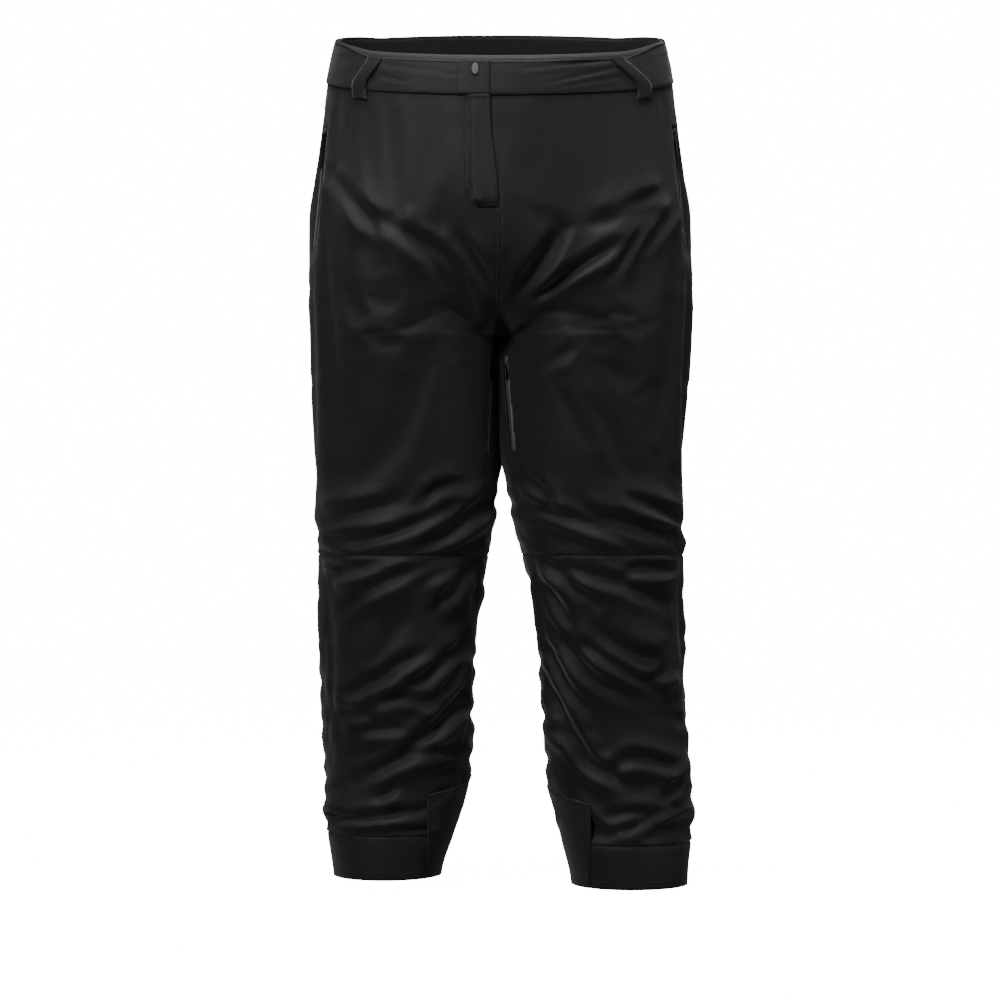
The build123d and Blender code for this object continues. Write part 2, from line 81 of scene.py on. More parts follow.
def edge_arrays(node):
    mesh = frame["nodes"][node].data
    co = np.empty(len(mesh.vertices) * 3)
    mesh.vertices.foreach_get("co", co)
    ed = np.empty(len(mesh.edges) * 2, int)
    mesh.edges.foreach_get("vertices", ed)
    return co.reshape(-1, 3), ed.reshape(-1, 2)


def slice_extents(side):
    """The CAD cloth's outline at many heights: z, outer x, inner x, front y, back y, from the hem up."""
    parts = [edge_arrays(f"{n}_{side}") for n in SHELL_NODES]
    rows = []
    for z in np.linspace(SLICE_TOP, HEM[side] + 0.0005, 150):
        xs, ys = [], []
        for co, ed in parts:
            a, b = co[ed[:, 0]], co[ed[:, 1]]
            cross = (a[:, 2] - z) * (b[:, 2] - z) < 0
            if cross.any():
                a, b = a[cross], b[cross]
                p = a + (b - a) * ((z - a[:, 2]) / (b[:, 2] - a[:, 2]))[:, None]
                xs.append(p[:, 0])
                ys.append(p[:, 1])
        xs, ys = np.abs(np.concatenate(xs)), np.concatenate(ys)
        rows.append((z, xs.max(), xs.min(), ys.min(), ys.max()))
    rows = np.array(rows)[::-1]
    kernel = np.ones(7) / 7
    for c in EVENED:
        rows[:, c] = np.convolve(np.pad(rows[:, c], 3, mode="edge"), kernel, mode="valid")
    rim = edge_arrays("waist_facing")[0]
    rim = rim[TILT * rim[:, 1] - rim[:, 2] < 0.002]
    wide, deep = np.abs(rim[:, 0]).max() + 0.003, (rim[:, 1].max() - rim[:, 1].min()) / 2 + 0.003
    top = np.array([0.0, wide, 0.0, -deep, deep])
    mid, under = rows[-1], rows[-9]
    above = []
    for z in np.linspace(-0.09, 0.04, 14):
        l_top = (z - mid[0]) * (z - under[0]) / ((0 - mid[0]) * (0 - under[0]))
        l_mid = z * (z - under[0]) / (mid[0] * (mid[0] - under[0]))
        l_under = z * (z - mid[0]) / (under[0] * (under[0] - mid[0]))
        above.append(top * l_top + mid * l_mid + under * l_under)
        above[-1][0] = z
    return np.vstack([rows, above])


EXTENT = {s: slice_extents(s) for s in SIGN}


def outline(side, z):
    """Outer x, inner x, middle y and half depth at height z, as arrays."""
    e = EXTENT[side]
    xo, xi, yf, yb = (np.interp(z, e[:, 0], e[:, c]) for c in range(1, 5))
    return xo, xi, (yf + yb) / 2, (yb - yf) / 2


def smooth(a, b, v):
    t = np.clip((v - a) / (b - a), 0, 1)
    return t * t * (3 - 2 * t)


# ================================================================ the cloth's base grid
MEDIAL = math.radians(12)       # half the angle of the strip between the legs
CROTCH_CURVE = 0.105            # height over which the centre seam turns under the body
THIGH_START = 0.24              # height over which the hips part into thighs


def around(side, beta, z, s):
    """A point of the shell.

    beta is 0 at the front centre, pi/2 at the side and pi at the back centre; s goes from torso 0 to leg 1.
    """
    sg = SIGN[side]
    xo, xi, yc, b = outline(side, z)
    xo = xo + HIP_FULL * np.exp(-((z - HIP_Z) / HIP_SPREAD) ** 2)
    torso_x, torso_y = xo * np.sin(beta), yc - b * np.cos(beta)
    theta = MEDIAL + beta / math.pi * (2 * math.pi - 2 * MEDIAL)
    mid_x, half = (xo + xi) / 2, (xo - xi) / 2
    leg_x, leg_y = mid_x - half * np.cos(theta), yc - b * np.sin(theta)
    return sg * (torso_x + (leg_x - torso_x) * s), torso_y + (leg_y - torso_y) * s


def part_ratio(beta, h):
    """How far a point at height h over the crotch has turned from torso to leg."""
    centre = np.exp(-(np.minimum(beta, math.pi - beta) / 0.42) ** 2)
    q = np.clip(1 - h / CROTCH_CURVE, 0, 1)
    quarter = 1 - np.sqrt(np.clip(1 - q * q, 0, 1))
    long_turn = smooth(1, 0, h / THIGH_START)
    return centre * quarter + (1 - centre) * long_turn


def spaced(a, b, step, dense=()):
    """Values from a to b about step apart, with extra ones close on both sides of each seam in dense."""
    values = list(np.linspace(a, b, max(2, round(abs(b - a) / step) + 1)))
    for seam in dense:
        values = [v for v in values if abs(v - seam) > 0.75 * step]
        values += [seam + o * step for o in (-0.62, -0.22, 0, 0.22, 0.62)]
    low, high = min(a, b), max(a, b)
    values = sorted(v for v in set(values) if low - 1e-9 <= v <= high + 1e-9)
    return np.array(values if b > a else values[::-1])


def base_grid(side):
    """Rows from the band down to the hem: points, their row and column, faces, and the marked rows."""
    sg = SIGN[side]
    step = GRID_STEP
    top_rows = spaced(-BAND_LOW + 0.001, CROTCH + CROTCH_CURVE, step)
    n_curve = 24
    leg_rows = spaced(CROTCH, HEM[side], step, dense=(KNEE_TOP[side], HEM_SEAM[side]))
    lateral = spaced(0.0, 1.0, step / 0.655, dense=(0.5,))
    lateral = np.array(sorted(set(lateral) | {0.004, 0.996}))
    beta = lateral * math.pi
    medial = spaced(-1.0, 1.0, 2 / 10, dense=(0.0,))[1:-1]
    pts = []
    centre = np.exp(-(np.minimum(beta, math.pi - beta) / 0.55) ** 2)
    fade_low = CROTCH + CROTCH_CURVE + 0.02
    for z0 in top_rows:
        f = smooth(fade_low, -BAND_LOW - 0.01, z0)
        z = np.full_like(beta, z0)
        for _ in range(3):
            x, y = around(side, beta, z, part_ratio(beta, z - CROTCH))
            z = z0 + f * TILT * y
        x[0] = x[-1] = 0
        pts.append(np.stack([x, y, z], 1))
    for i in range(1, n_curve):
        u = i / n_curve
        h = CROTCH_CURVE * ((1 - u) * (1 - centre) + (1 - math.sin(u * math.pi / 2)) * centre)
        x, y = around(side, beta, CROTCH + h, part_ratio(beta, h))
        x[0] = x[-1] = 0
        pts.append(np.stack([x, y, CROTCH + h], 1))
    ic = len(pts)
    for z0 in leg_rows:
        z = np.full_like(beta, z0)
        x, y = around(side, beta, z, np.ones_like(beta))
        xo, xi, yc, b = outline(side, z0)
        th = medial * MEDIAL
        mx = sg * ((xo + xi) / 2 - (xo - xi) / 2 * np.cos(th))
        my = yc - b * np.sin(th)
        if z0 == leg_rows[0]:
            mx[:] = 0
            x[0] = x[-1] = 0
        ring = np.concatenate([np.stack([x, y, z], 1), np.stack([mx, my, np.full_like(mx, z0)], 1)])
        pts.append(ring)
    n = len(beta)
    start, index = 0, []
    for p in pts:
        index.append(np.arange(start, start + len(p)))
        start += len(p)
    faces = []
    for i in range(len(pts) - 1):
        a, b = index[i], index[i + 1]
        for j in range(n - 1):
            faces.append((a[j], a[j + 1], b[j + 1], b[j]))
        if i >= ic:
            # medial values run from -1 (back) to 1 (front): back centre, medial strip, front centre
            ra = [a[n - 1], *a[n:], a[0]]
            rb = [b[n - 1], *b[n:], b[0]]
            for j in range(len(ra) - 1):
                faces.append((ra[j], ra[j + 1], rb[j + 1], rb[j]))
    if sg > 0:
        faces = [f[::-1] for f in faces]
    row_of = np.concatenate([np.full(len(p), i) for i, p in enumerate(pts)])
    knee = ic + int(np.argmin(np.abs(leg_rows - KNEE_TOP[side])))
    seam = ic + int(np.argmin(np.abs(leg_rows - HEM_SEAM[side])))
    col_of = np.concatenate([np.arange(len(p)) for p in pts])
    return {"co": np.concatenate(pts), "faces": faces, "row": row_of, "col": col_of, "n": n,
            "crotch": ic, "knee": knee, "seam": seam, "last": len(pts) - 1, "beta": beta}


# ================================================================ folds
# Each fold: depth and width factors, then its line in millimetres as (x, z) seen from the front or back,
# or (y, z) seen from the side. The front ones were read off the photo; the others are guesses.
FOLD_DEPTH, FOLD_WIDTH = 0.0085, 0.0060
OUTER_DEPTH, INNER_DEPTH = 0.0030, 0.0048
FRONT_R = [
    (1.0, 1.3, (-218, -175), (-193, -200), (-156, -247)),
    (1.0, 1.4, (-174, -221), (-112, -256), (-62, -308)),
    (1.0, 1.2, (-110, -247), (-56, -289), (-37, -318)),
    (1.5, 1.2, (-52, -259), (-10, -324), (0, -374)),
    (0.7, 1.0, (-62, -399), (-27, -405)),
    (1.0, 1.5, (-224, -607), (-133, -592)),
    (1.1, 1.0, (-100, -593), (-78, -570), (-41, -565)),
    (1.0, 1.0, (-184, -637), (-125, -623), (-55, -591)),
    (1.5, 1.3, (-106, -654), (-50, -611), (-16, -586)),
    (0.8, 1.0, (-224, -651), (-192, -665)),
    (0.9, 1.0, (-224, -680), (-149, -667)),
    (1.2, 1.2, (-203, -723), (-162, -694), (-75, -660), (-31, -639)),
    (1.0, 1.0, (-112, -693), (-37, -660)),
    (1.2, 1.1, (-90, -729), (-25, -652)),
    (1.1, 1.2, (-198, -829), (-152, -807), (-131, -790), (-78, -770)),
    (1.5, 1.2, (-118, -819), (-56, -773), (-44, -760)),
    (0.9, 1.0, (-80, -831), (-50, -785)),
    (1.0, 1.0, (-174, -842), (-125, -831), (-77, -842)),
    (0.8, 1.0, (-218, -846), (-158, -856)),
    (0.9, 1.0, (-181, -873), (-125, -868)),
    (1.7, 1.3, (-125, -900), (-75, -857), (-44, -822)),
    (1.1, 1.1, (-187, -937), (-125, -907), (-56, -891)),
    (0.8, 0.9, (-156, -958), (-131, -941)),
    (1.0, 1.1, (-217, -988), (-102, -974)),
]
FRONT_L = [
    (1.5, 1.6, (82, -244), (48, -290), (15, -336)),
    (1.4, 1.1, (146, -262), (90, -297), (35, -337)),
    (0.9, 1.6, (189, -218), (100, -242)),
    (0.9, 1.1, (212, -195), (152, -215)),
    (0.7, 0.8, (181, -243), (137, -306)),
    (0.8, 0.9, (222, -218), (187, -268)),
    (0.9, 1.1, (92, -394), (19, -441)),
    (0.7, 0.9, (44, -364), (20, -387)),
    (0.9, 1.0, (21, -547), (64, -585)),
    (1.1, 1.0, (35, -590), (112, -617), (164, -641)),
    (1.1, 1.5, (96, -595), (133, -611), (213, -627)),
    (1.5, 1.1, (164, -583), (224, -604)),
    (1.4, 1.0, (154, -682), (174, -673), (225, -672)),
    (1.2, 1.1, (62, -667), (137, -685), (209, -713)),
    (1.0, 1.0, (45, -657), (125, -715)),
    (1.0, 1.0, (37, -664), (66, -703), (96, -746)),
    (1.1, 1.1, (66, -740), (125, -810), (172, -832)),
    (0.9, 0.9, (56, -748), (93, -822), (112, -845)),
    (1.4, 1.2, (56, -795), (100, -885), (118, -916), (168, -943)),
    (0.9, 0.9, (62, -856), (93, -885)),
    (1.0, 1.0, (95, -758), (149, -791), (197, -821)),
    (1.1, 1.5, (125, -751), (174, -779), (214, -788)),
    (1.0, 1.0, (184, -807), (227, -798)),
    (1.5, 1.1, (144, -922), (171, -906), (224, -920)),
    (1.0, 1.0, (199, -968), (235, -931)),
    (0.9, 0.9, (136, -981), (196, -973)),
    (0.9, 1.0, (158, -1000), (235, -961)),
]
BACK = [
    (1.1, 1.5, (14, -372), (70, -352), (150, -338), (214, -300)),
    (1.0, 1.2, (10, -398), (60, -402), (128, -378)),
    (0.8, 1.2, (16, -350), (44, -300), (60, -250)),
    (0.8, 1.3, (20, -440), (70, -470), (120, -480)),
    (1.0, 1.2, (40, -600), (110, -622), (190, -606)),
    (1.3, 1.2, (50, -668), (120, -690), (204, -664)),
    (1.2, 1.1, (46, -712), (100, -726), (172, -708)),
    (1.3, 1.2, (60, -742), (130, -765), (215, -748)),
    (1.2, 1.1, (56, -796), (120, -800), (190, -778)),
    (1.2, 1.3, (70, -838), (140, -862), (214, -846)),
    (1.2, 1.1, (60, -880), (120, -896), (176, -880)),
    (1.3, 1.2, (84, -930), (150, -944), (222, -926)),
    (1.1, 1.1, (70, -972), (130, -984), (190, -966)),
]
OUTER = [
    (0.9, 1.4, (-80, -300), (0, -322), (84, -308)),
    (0.9, 1.3, (-60, -420), (10, -440), (70, -424)),
    (1.1, 1.3, (-80, -600), (-6, -622), (60, -606)),
    (1.2, 1.1, (-60, -690), (20, -712), (78, -700)),
    (1.1, 1.1, (-76, -744), (-10, -760), (50, -742)),
    (1.2, 1.2, (-50, -800), (20, -818), (74, -800)),
    (1.2, 1.1, (-80, -852), (-6, -870), (60, -858)),
    (1.1, 1.1, (-40, -900), (20, -912), (80, -892)),
    (1.2, 1.2, (-72, -944), (0, -962), (66, -948)),
]
INNER = [
    (1.0, 1.1, (-70, -600), (0, -588), (60, -600)),
    (1.2, 1.1, (-60, -676), (10, -690), (70, -670)),
    (1.1, 1.1, (-66, -770), (0, -790), (60, -774)),
    (1.2, 1.2, (-60, -840), (10, -858), (60, -846)),
    (1.1, 1.1, (-60, -900), (0, -914), (60, -902)),
]


def curve_through(points, per=10):
    """A smooth line through the points."""
    p = np.array(points, float) * MM
    if len(p) == 2:
        return p[0] + (p[1] - p[0]) * np.linspace(0, 1, per)[:, None]
    q = np.vstack([2 * p[0] - p[1], p, 2 * p[-1] - p[-2]])
    out = []
    for i in range(len(p) - 1):
        for t in np.arange(per) / per:
            a, b, c, d = q[i:i + 4]
            out.append(0.5 * (2 * b + (c - a) * t + (2 * a - 5 * b + 4 * c - d) * t * t
                              + (3 * b - a - 3 * c + d) * t ** 3))
    return np.array(out + [p[-1]])


def line_distance(uv, line):
    """Signed distance from each point to the line, positive above it, and the share of the way along it."""
    a, b = line[:-1], line[1:]
    d = b - a
    length = np.hypot(d[:, 0], d[:, 1])
    t = ((uv[:, None, :] - a) * d).sum(2) / length ** 2
    t = np.clip(t, 0, 1)
    near = a + d * t[..., None]
    off = uv[:, None, :] - near
    dist = np.hypot(off[..., 0], off[..., 1])
    k = dist.argmin(1)
    rows = np.arange(len(uv))
    run = np.concatenate([[0], np.cumsum(length)])
    along = (run[k] + t[rows, k] * length[k]) / run[-1]
    side = np.sign(d[k, 0] * off[rows, k, 1] - d[k, 1] * off[rows, k, 0]) * np.sign(d[k, 0] + 1e-12)
    return dist[rows, k] * side, along


def fold_height(uv, folds, mirror=1.0, depth=FOLD_DEPTH, width=FOLD_WIDTH):
    """The height that the folds add at each point: a groove with a ridge on both sides."""
    total = np.zeros(len(uv))
    for deep, wide, *points in folds:
        pts = [(mirror * u, v) for u, v in points]
        line = curve_through(pts)
        lo, hi = line.min(0) - 0.05, line.max(0) + 0.05
        near = np.all((uv > lo) & (uv < hi), axis=1)
        if not near.any():
            continue
        d, along = line_distance(uv[near], line)
        s = width * wide
        taper = np.sin(np.pi * np.clip(0.04 + 0.92 * along, 0, 1)) ** 0.55
        g = (-1.0 * np.exp(-(d / s) ** 2) + 0.75 * np.exp(-((d + 1.9 * s) / (1.35 * s)) ** 2)
             + 0.5 * np.exp(-((d - 1.9 * s) / (1.35 * s)) ** 2))
        total[near] += depth * deep * taper * g
    return total


def vertex_normals(co, faces):
    tri = np.array([(f[0], f[1], f[2]) for f in faces] + [(f[0], f[2], f[3]) for f in faces])
    n = np.cross(co[tri[:, 1]] - co[tri[:, 0]], co[tri[:, 2]] - co[tri[:, 0]])
    out = np.zeros_like(co)
    for k in range(3):
        np.add.at(out, tri[:, k], n)
    return out / np.maximum(np.linalg.norm(out, axis=1), 1e-12)[:, None]


def ripple(co, scale, seed):
    """Smooth noise stretched sideways."""
    return np.array([noise.noise(Vector((c[0] * scale * 0.55 + seed, c[1] * scale * 0.55, c[2] * scale)))
                     for c in co])


def seed_folds(side, grid):
    """The grid's points, their normals and the height of the folds and creases there."""
    co = grid["co"]
    n = vertex_normals(co, grid["faces"])
    sg = SIGN[side]
    z = co[:, 2]
    front = smooth(0.05, 0.45, -n[:, 1])
    back = smooth(0.05, 0.45, n[:, 1])
    outer = smooth(0.35, 0.8, sg * n[:, 0])
    inner = smooth(0.35, 0.8, -sg * n[:, 0]) * smooth(CROTCH - 0.12, CROTCH - 0.20, z)
    xz, yz = co[:, [0, 2]], co[:, [1, 2]]
    h = fold_height(xz, FRONT_R if side == "r" else FRONT_L) * front
    h += fold_height(xz, BACK, sg) * back
    h += fold_height(yz, OUTER, depth=OUTER_DEPTH) * outer
    h += fold_height(yz, INNER, depth=INNER_DEPTH) * inner
    rough = 0.35 + 0.65 * smooth(-0.50, -0.62, z)
    rough *= smooth(HEM_SEAM[side] - 0.01, HEM_SEAM[side] + 0.03, z) * 0.8 + 0.2
    h += (0.0034 * ripple(co, 26, 3.1 + sg) + 0.0015 * ripple(co, 70, 7.7 + sg)) * rough
    return co, n, h


# ================================================================ building and simulating
def new_object(name, co, faces, mat=None):
    mesh = bpy.data.meshes.new(name)
    mesh.from_pydata([tuple(c) for c in co], [], [tuple(int(i) for i in f) for f in faces])
    mesh.polygons.foreach_set("use_smooth", [True] * len(mesh.polygons))
    mesh.update()
    ob = bpy.data.objects.new(name, mesh)
    bpy.context.collection.objects.link(ob)
    if mat:
        mesh.materials.append(mat)
    return ob


def coords(ob):
    out = np.empty(len(ob.data.vertices) * 3)
    ob.data.vertices.foreach_get("co", out)
    return out.reshape(-1, 3)


def settle(co, faces, rest, pin, frames=20, pressure=0.6):
    """The points after a short cloth simulation. The rest shape is larger, so that the folds deepen."""
    ob = new_object("settling", co, faces)
    ob.shape_key_add(name="start", from_mix=False)
    key = ob.shape_key_add(name="rest", from_mix=False)
    key.data.foreach_set("co", rest.ravel())
    key.value = 0
    group = ob.vertex_groups.new(name="pin")
    for w in np.unique(np.round(pin, 2)):
        if w > 0:
            group.add([int(i) for i in np.nonzero(np.round(pin, 2) == w)[0]], float(w), "REPLACE")
    mod = ob.modifiers.new("cloth", "CLOTH")
    s = mod.settings
    s.quality = 6
    s.mass = 0.25
    s.tension_stiffness = s.compression_stiffness = 18
    s.shear_stiffness = 8
    s.bending_stiffness = 0.6
    s.tension_damping = s.compression_damping = s.shear_damping = 8
    s.air_damping = 3
    s.vertex_group_mass = "pin"
    s.pin_stiffness = 3
    s.rest_shape_key = ob.data.shape_keys.key_blocks["rest"]
    s.use_pressure = True
    s.uniform_pressure_force = pressure
    s.effector_weights.gravity = 0.25
    mod.collision_settings.use_collision = False
    mod.point_cache.frame_start, mod.point_cache.frame_end = 1, frames
    scene = bpy.context.scene
    for f in range(1, frames + 1):
        scene.frame_set(f)
    graph = bpy.context.evaluated_depsgraph_get()
    result = coords(ob.evaluated_get(graph)).copy()
    scene.frame_set(1)
    mesh = ob.data
    bpy.data.objects.remove(ob)
    bpy.data.meshes.remove(mesh)
    return result


class ZipFrame:
    """A zip's straight line: origin on the cloth's face, then the directions across, up and out of it."""

    def __init__(self, origin, across, up, out, low, high):
        self.origin, self.across, self.up, self.out = (np.array(v, float) for v in (origin, across, up, out))
        self.low, self.high = low, high

    def local(self, co):
        d = co - self.origin
        return d @ self.across, d @ self.up, d @ self.out

    def place(self, a, u, o):
        a, u, o = (np.asarray(v, float)[..., None] for v in (a, u, o))
        return self.origin + a * self.across + u * self.up + o * self.out


def node_points(node):
    return edge_arrays(node)[0]


def unit(v):
    v = np.array(v, float)
    return v / np.linalg.norm(v)


PIN_HEIGHT = 0.0026                      # a puller's pin over the cloth
FLY_OUT = (-0.0733, -0.9913, 0.1095)     # the direction out of the fly's cloth
FLY_DEEP = 0.0018                        # how far the fly zip lies under the cloth


def zip_frame_from(node, up, out_hint, pin=None):
    pts = node_points(node)
    if up is None:
        centred = pts - pts.mean(0)
        _, _, axes = np.linalg.svd(centred, full_matrices=False)
        up = axes[0] * np.sign(axes[0][2])
        out = axes[2] * np.sign(axes[2] @ np.array(out_hint))
        origin = pts.mean(0)
        inward = (pts - origin) @ out
        origin = origin + out * (inward.max() - 0.0001)
    else:
        up = unit(up)
        out = np.array(out_hint, float)
        out = unit(out - up * (out @ up))
        origin = np.array(pin) - out * PIN_HEIGHT
    across = np.cross(up, out)
    u = (pts - origin) @ up
    return ZipFrame(origin, across, up, out, float(u.min()), float(u.max()))


def zip_frames():
    found = {}
    for s in SIGN:
        slide, pull = joint(f"pocket_slide_{s}"), joint(f"pocket_pull_hinge_{s}")
        up = -unit(slide["axis"])
        out = np.cross(up, unit(pull["axis"]))
        out *= np.sign(out[0] * SIGN[s])
        found[f"pocket_{s}"] = zip_frame_from(f"pocket_{s}_tape", up, out, pull["pos_m"])
        found[f"vent_{s}"] = zip_frame_from(f"vent_zip_{s}", None, (-SIGN[s], -0.4, 0))
    up = -unit(joint("fly_slide")["axis"])
    pts = node_points("fly_tape")
    out = unit(np.cross(up, np.cross(FLY_OUT, up)))
    middle = pts.mean(0)
    top = ((pts - middle) @ out).max()
    found["fly"] = zip_frame_from("fly_tape", up, out, middle + out * (top + FLY_DEEP + PIN_HEIGHT))
    return found


ZIPS = zip_frames()
SLOT = 0.006                             # half the width of the opening that a zip closes
SLOT_LOW, SLOT_HIGH = 0.004, 0.001       # how much shorter it is than the zip at its two ends
CALM_WIDE, CALM_NEAR = 0.017, 0.009      # the cloth is flat up to the second, folded from the first


def calm_and_flatten(side, base):
    """Where a zip lies the cloth is flat and unfolded. Returns how calm each point is."""
    calm = np.zeros(len(base))
    names = [f"pocket_{side}", f"vent_{side}"] + (["fly"] if side == "r" else [])
    for name in names:
        f = ZIPS[name]
        a, u, o = f.local(base)
        w = smooth(CALM_WIDE, CALM_NEAR, np.abs(a)) * smooth(0.03, 0.006, np.maximum(f.low - u, u - f.high))
        w = w * (np.abs(o) < 0.03)
        if name != "fly":
            base -= f.out * (o * w)[:, None]
        calm = np.maximum(calm, w)
    x, z = base[:, 0], base[:, 2]
    fly = smooth(-0.075, -0.058, x) * smooth(0.024, 0.012, x) * smooth(-0.245, -0.230, z) * (base[:, 1] < 0)
    return np.maximum(calm, fly)


SLACK_DOWN, SLACK_ACROSS = 0.032, 1.015  # how much larger the simulated cloth's rest shape is
LEG_X = 0.13                             # the middle of a leg
MOST_SHIFT = 0.009                       # the simulation moves no point further than this
DEEPEST = -0.0072                        # no fold is deeper than this
MEET_WAVE, MEET_TURNS = 0.0044, 52       # the curved line on which the thighs touch


def draped(side):
    """The base grid with its folds, after the cloth simulation."""
    grid = base_grid(side)
    sg = SIGN[side]
    base, normal, height = seed_folds(side, grid)
    calm = calm_and_flatten(side, base)
    thigh_inside = smooth(0.3, 0.7, -sg * normal[:, 0]) * smooth(-0.58, -0.54, base[:, 2])
    calm = np.maximum(calm, thigh_inside)
    height = height * (1 - calm)
    row, col, z = grid["row"], grid["col"], base[:, 2]
    n = grid["n"]
    centre = ((col == 0) | (col == n - 1)) & (row <= grid["crotch"])
    centre |= (row == grid["crotch"]) & (col >= n)
    near_centre = smooth(0.002, 0.022, np.abs(base[:, 0]) + 0.03 * (row > grid["crotch"] + 6))
    edge = smooth(0, 0.016, BAND_LOW * -1 + TILT * base[:, 1] - z)
    height = height * np.where(z > -0.3, edge, 1.0) * np.where(z > CROTCH - 0.05, near_centre, 1.0)
    for level, deep in ((KNEE_TOP[side], 0.0016), (HEM_SEAM[side], 0.0014)):
        height *= 1 - 0.65 * np.exp(-((z - level) / 0.008) ** 2)
        height -= deep * np.exp(-((z - level) / 0.0016) ** 2)
    start = base + normal * height[:, None]
    start[centre, 0] = 0
    rest = start.copy()
    rest[:, 2] = start[:, 2] * (1 + SLACK_DOWN)
    mid_x = sg * LEG_X
    rest[:, 0] = mid_x + (start[:, 0] - mid_x) * SLACK_ACROSS
    rest[:, 1] = start[:, 1] * SLACK_ACROSS
    pin = np.zeros(len(base))
    pin[row == 0] = 1
    pin = np.maximum(pin, 0.95 * np.exp(-((z - KNEE_TOP[side]) / 0.004) ** 2))
    pin = np.maximum(pin, 0.95 * np.exp(-((z - HEM_SEAM[side]) / 0.004) ** 2))
    pin = np.maximum(pin, 0.6 * (z < HEM_SEAM[side]))
    pin[row == grid["last"]] = 1
    pin[centre] = 1
    pin = np.maximum(pin, calm)
    moved = settle(start, grid["faces"], rest, pin)
    shift = moved - start
    size = np.linalg.norm(shift, axis=1)
    shift *= (MOST_SHIFT * np.tanh(size / MOST_SHIFT) / np.maximum(size, 1e-9))[:, None]
    final = start + shift
    depth = ((final - base) * normal).sum(1)
    final += normal * (np.maximum(depth, DEEPEST) - depth)[:, None] * (~centre)[:, None]
    below = row > grid["crotch"]
    final[below, 0] = sg * np.maximum(sg * final[below, 0], 0.0008)
    final[~below, 0] = sg * np.maximum(sg * final[~below, 0], 0.0)
    final[centre, 0] = 0
    # the thighs touch along a curved line, so that no light passes between them
    reach = smooth(CROTCH - 0.0004, CROTCH - 0.009, z) * smooth(-0.585, -0.53, z) * below
    beside = smooth(0.035, 0.008, np.abs(final[:, 0]))
    final[:, 0] = sg * np.maximum(sg * final[:, 0] - 0.0035 * reach * beside, 0.0005 * below)
    final[centre, 0] = 0
    final[:, 0] += MEET_WAVE * np.sin(final[:, 1] * MEET_TURNS) * reach * beside
    grid["final"] = final
    return grid


def cut(grid, first, last):
    """The points and faces of the rows first to last."""
    row = grid["row"]
    keep = (row >= first) & (row <= last)
    index = np.cumsum(keep) - 1
    faces = [tuple(index[i] for i in f) for f in grid["faces"] if all(keep[i] for i in f)]
    return grid["final"][keep], faces


def apply_modifiers(ob):
    graph = bpy.context.evaluated_depsgraph_get()
    mesh = bpy.data.meshes.new_from_object(ob.evaluated_get(graph), depsgraph=graph)
    old = ob.data
    ob.modifiers.clear()
    ob.data = mesh
    mesh.name = ob.name
    bpy.data.meshes.remove(old)
    return ob


def cut_slot(ob, f):
    """Cuts a zip's slot out of a single layer of cloth."""
    bm = bmesh.new()
    bm.from_mesh(ob.data)
    low, high = f.low + SLOT_LOW, f.high - SLOT_HIGH
    cuts = [(f.place(-SLOT, 0, 0), f.across), (f.place(SLOT, 0, 0), f.across),
            (f.place(0, low, 0), f.up), (f.place(0, high, 0), f.up)]

    def near(face):
        a, u, o = f.local(np.array(face.calc_center_median()))
        return abs(a) < 0.014 and low - 0.01 < u < high + 0.01 and abs(o) < 0.012

    for point, direction in cuts:
        faces = [face for face in bm.faces if near(face)]
        geom = set(faces)
        for face in faces:
            geom.update(face.edges)
            geom.update(face.verts)
        bmesh.ops.bisect_plane(bm, geom=list(geom), plane_co=Vector(point), plane_no=Vector(direction),
                               dist=1e-6)
    gone = []
    for face in bm.faces:
        a, u, o = f.local(np.array(face.calc_center_median()))
        if abs(a) < SLOT and low < u < high and abs(o) < 0.012:
            gone.append(face)
    bmesh.ops.delete(bm, geom=gone, context="FACES")
    bm.to_mesh(ob.data)
    bm.free()


SURFACE = {}                             # each cloth piece's outer face, for placing others on it


def finish_cloth(ob, thickness=CLOTH, levels=1, slots=()):
    """Subdivides a single layer, cuts its zip slots and gives it its thickness."""
    if levels:
        sub = ob.modifiers.new("sub", "SUBSURF")
        sub.levels = sub.render_levels = levels
        sub.boundary_smooth = "PRESERVE_CORNERS"
        apply_modifiers(ob)
    SURFACE[ob.name] = BVHTree.FromPolygons([tuple(c) for c in coords(ob)],
                                            [tuple(p.vertices) for p in ob.data.polygons])
    for f in slots:
        cut_slot(ob, f)
    solid = ob.modifiers.new("solid", "SOLIDIFY")
    solid.thickness = thickness
    solid.offset = -1
    apply_modifiers(ob)
    ob.data.polygons.foreach_set("use_smooth", [True] * len(ob.data.polygons))
    return ob


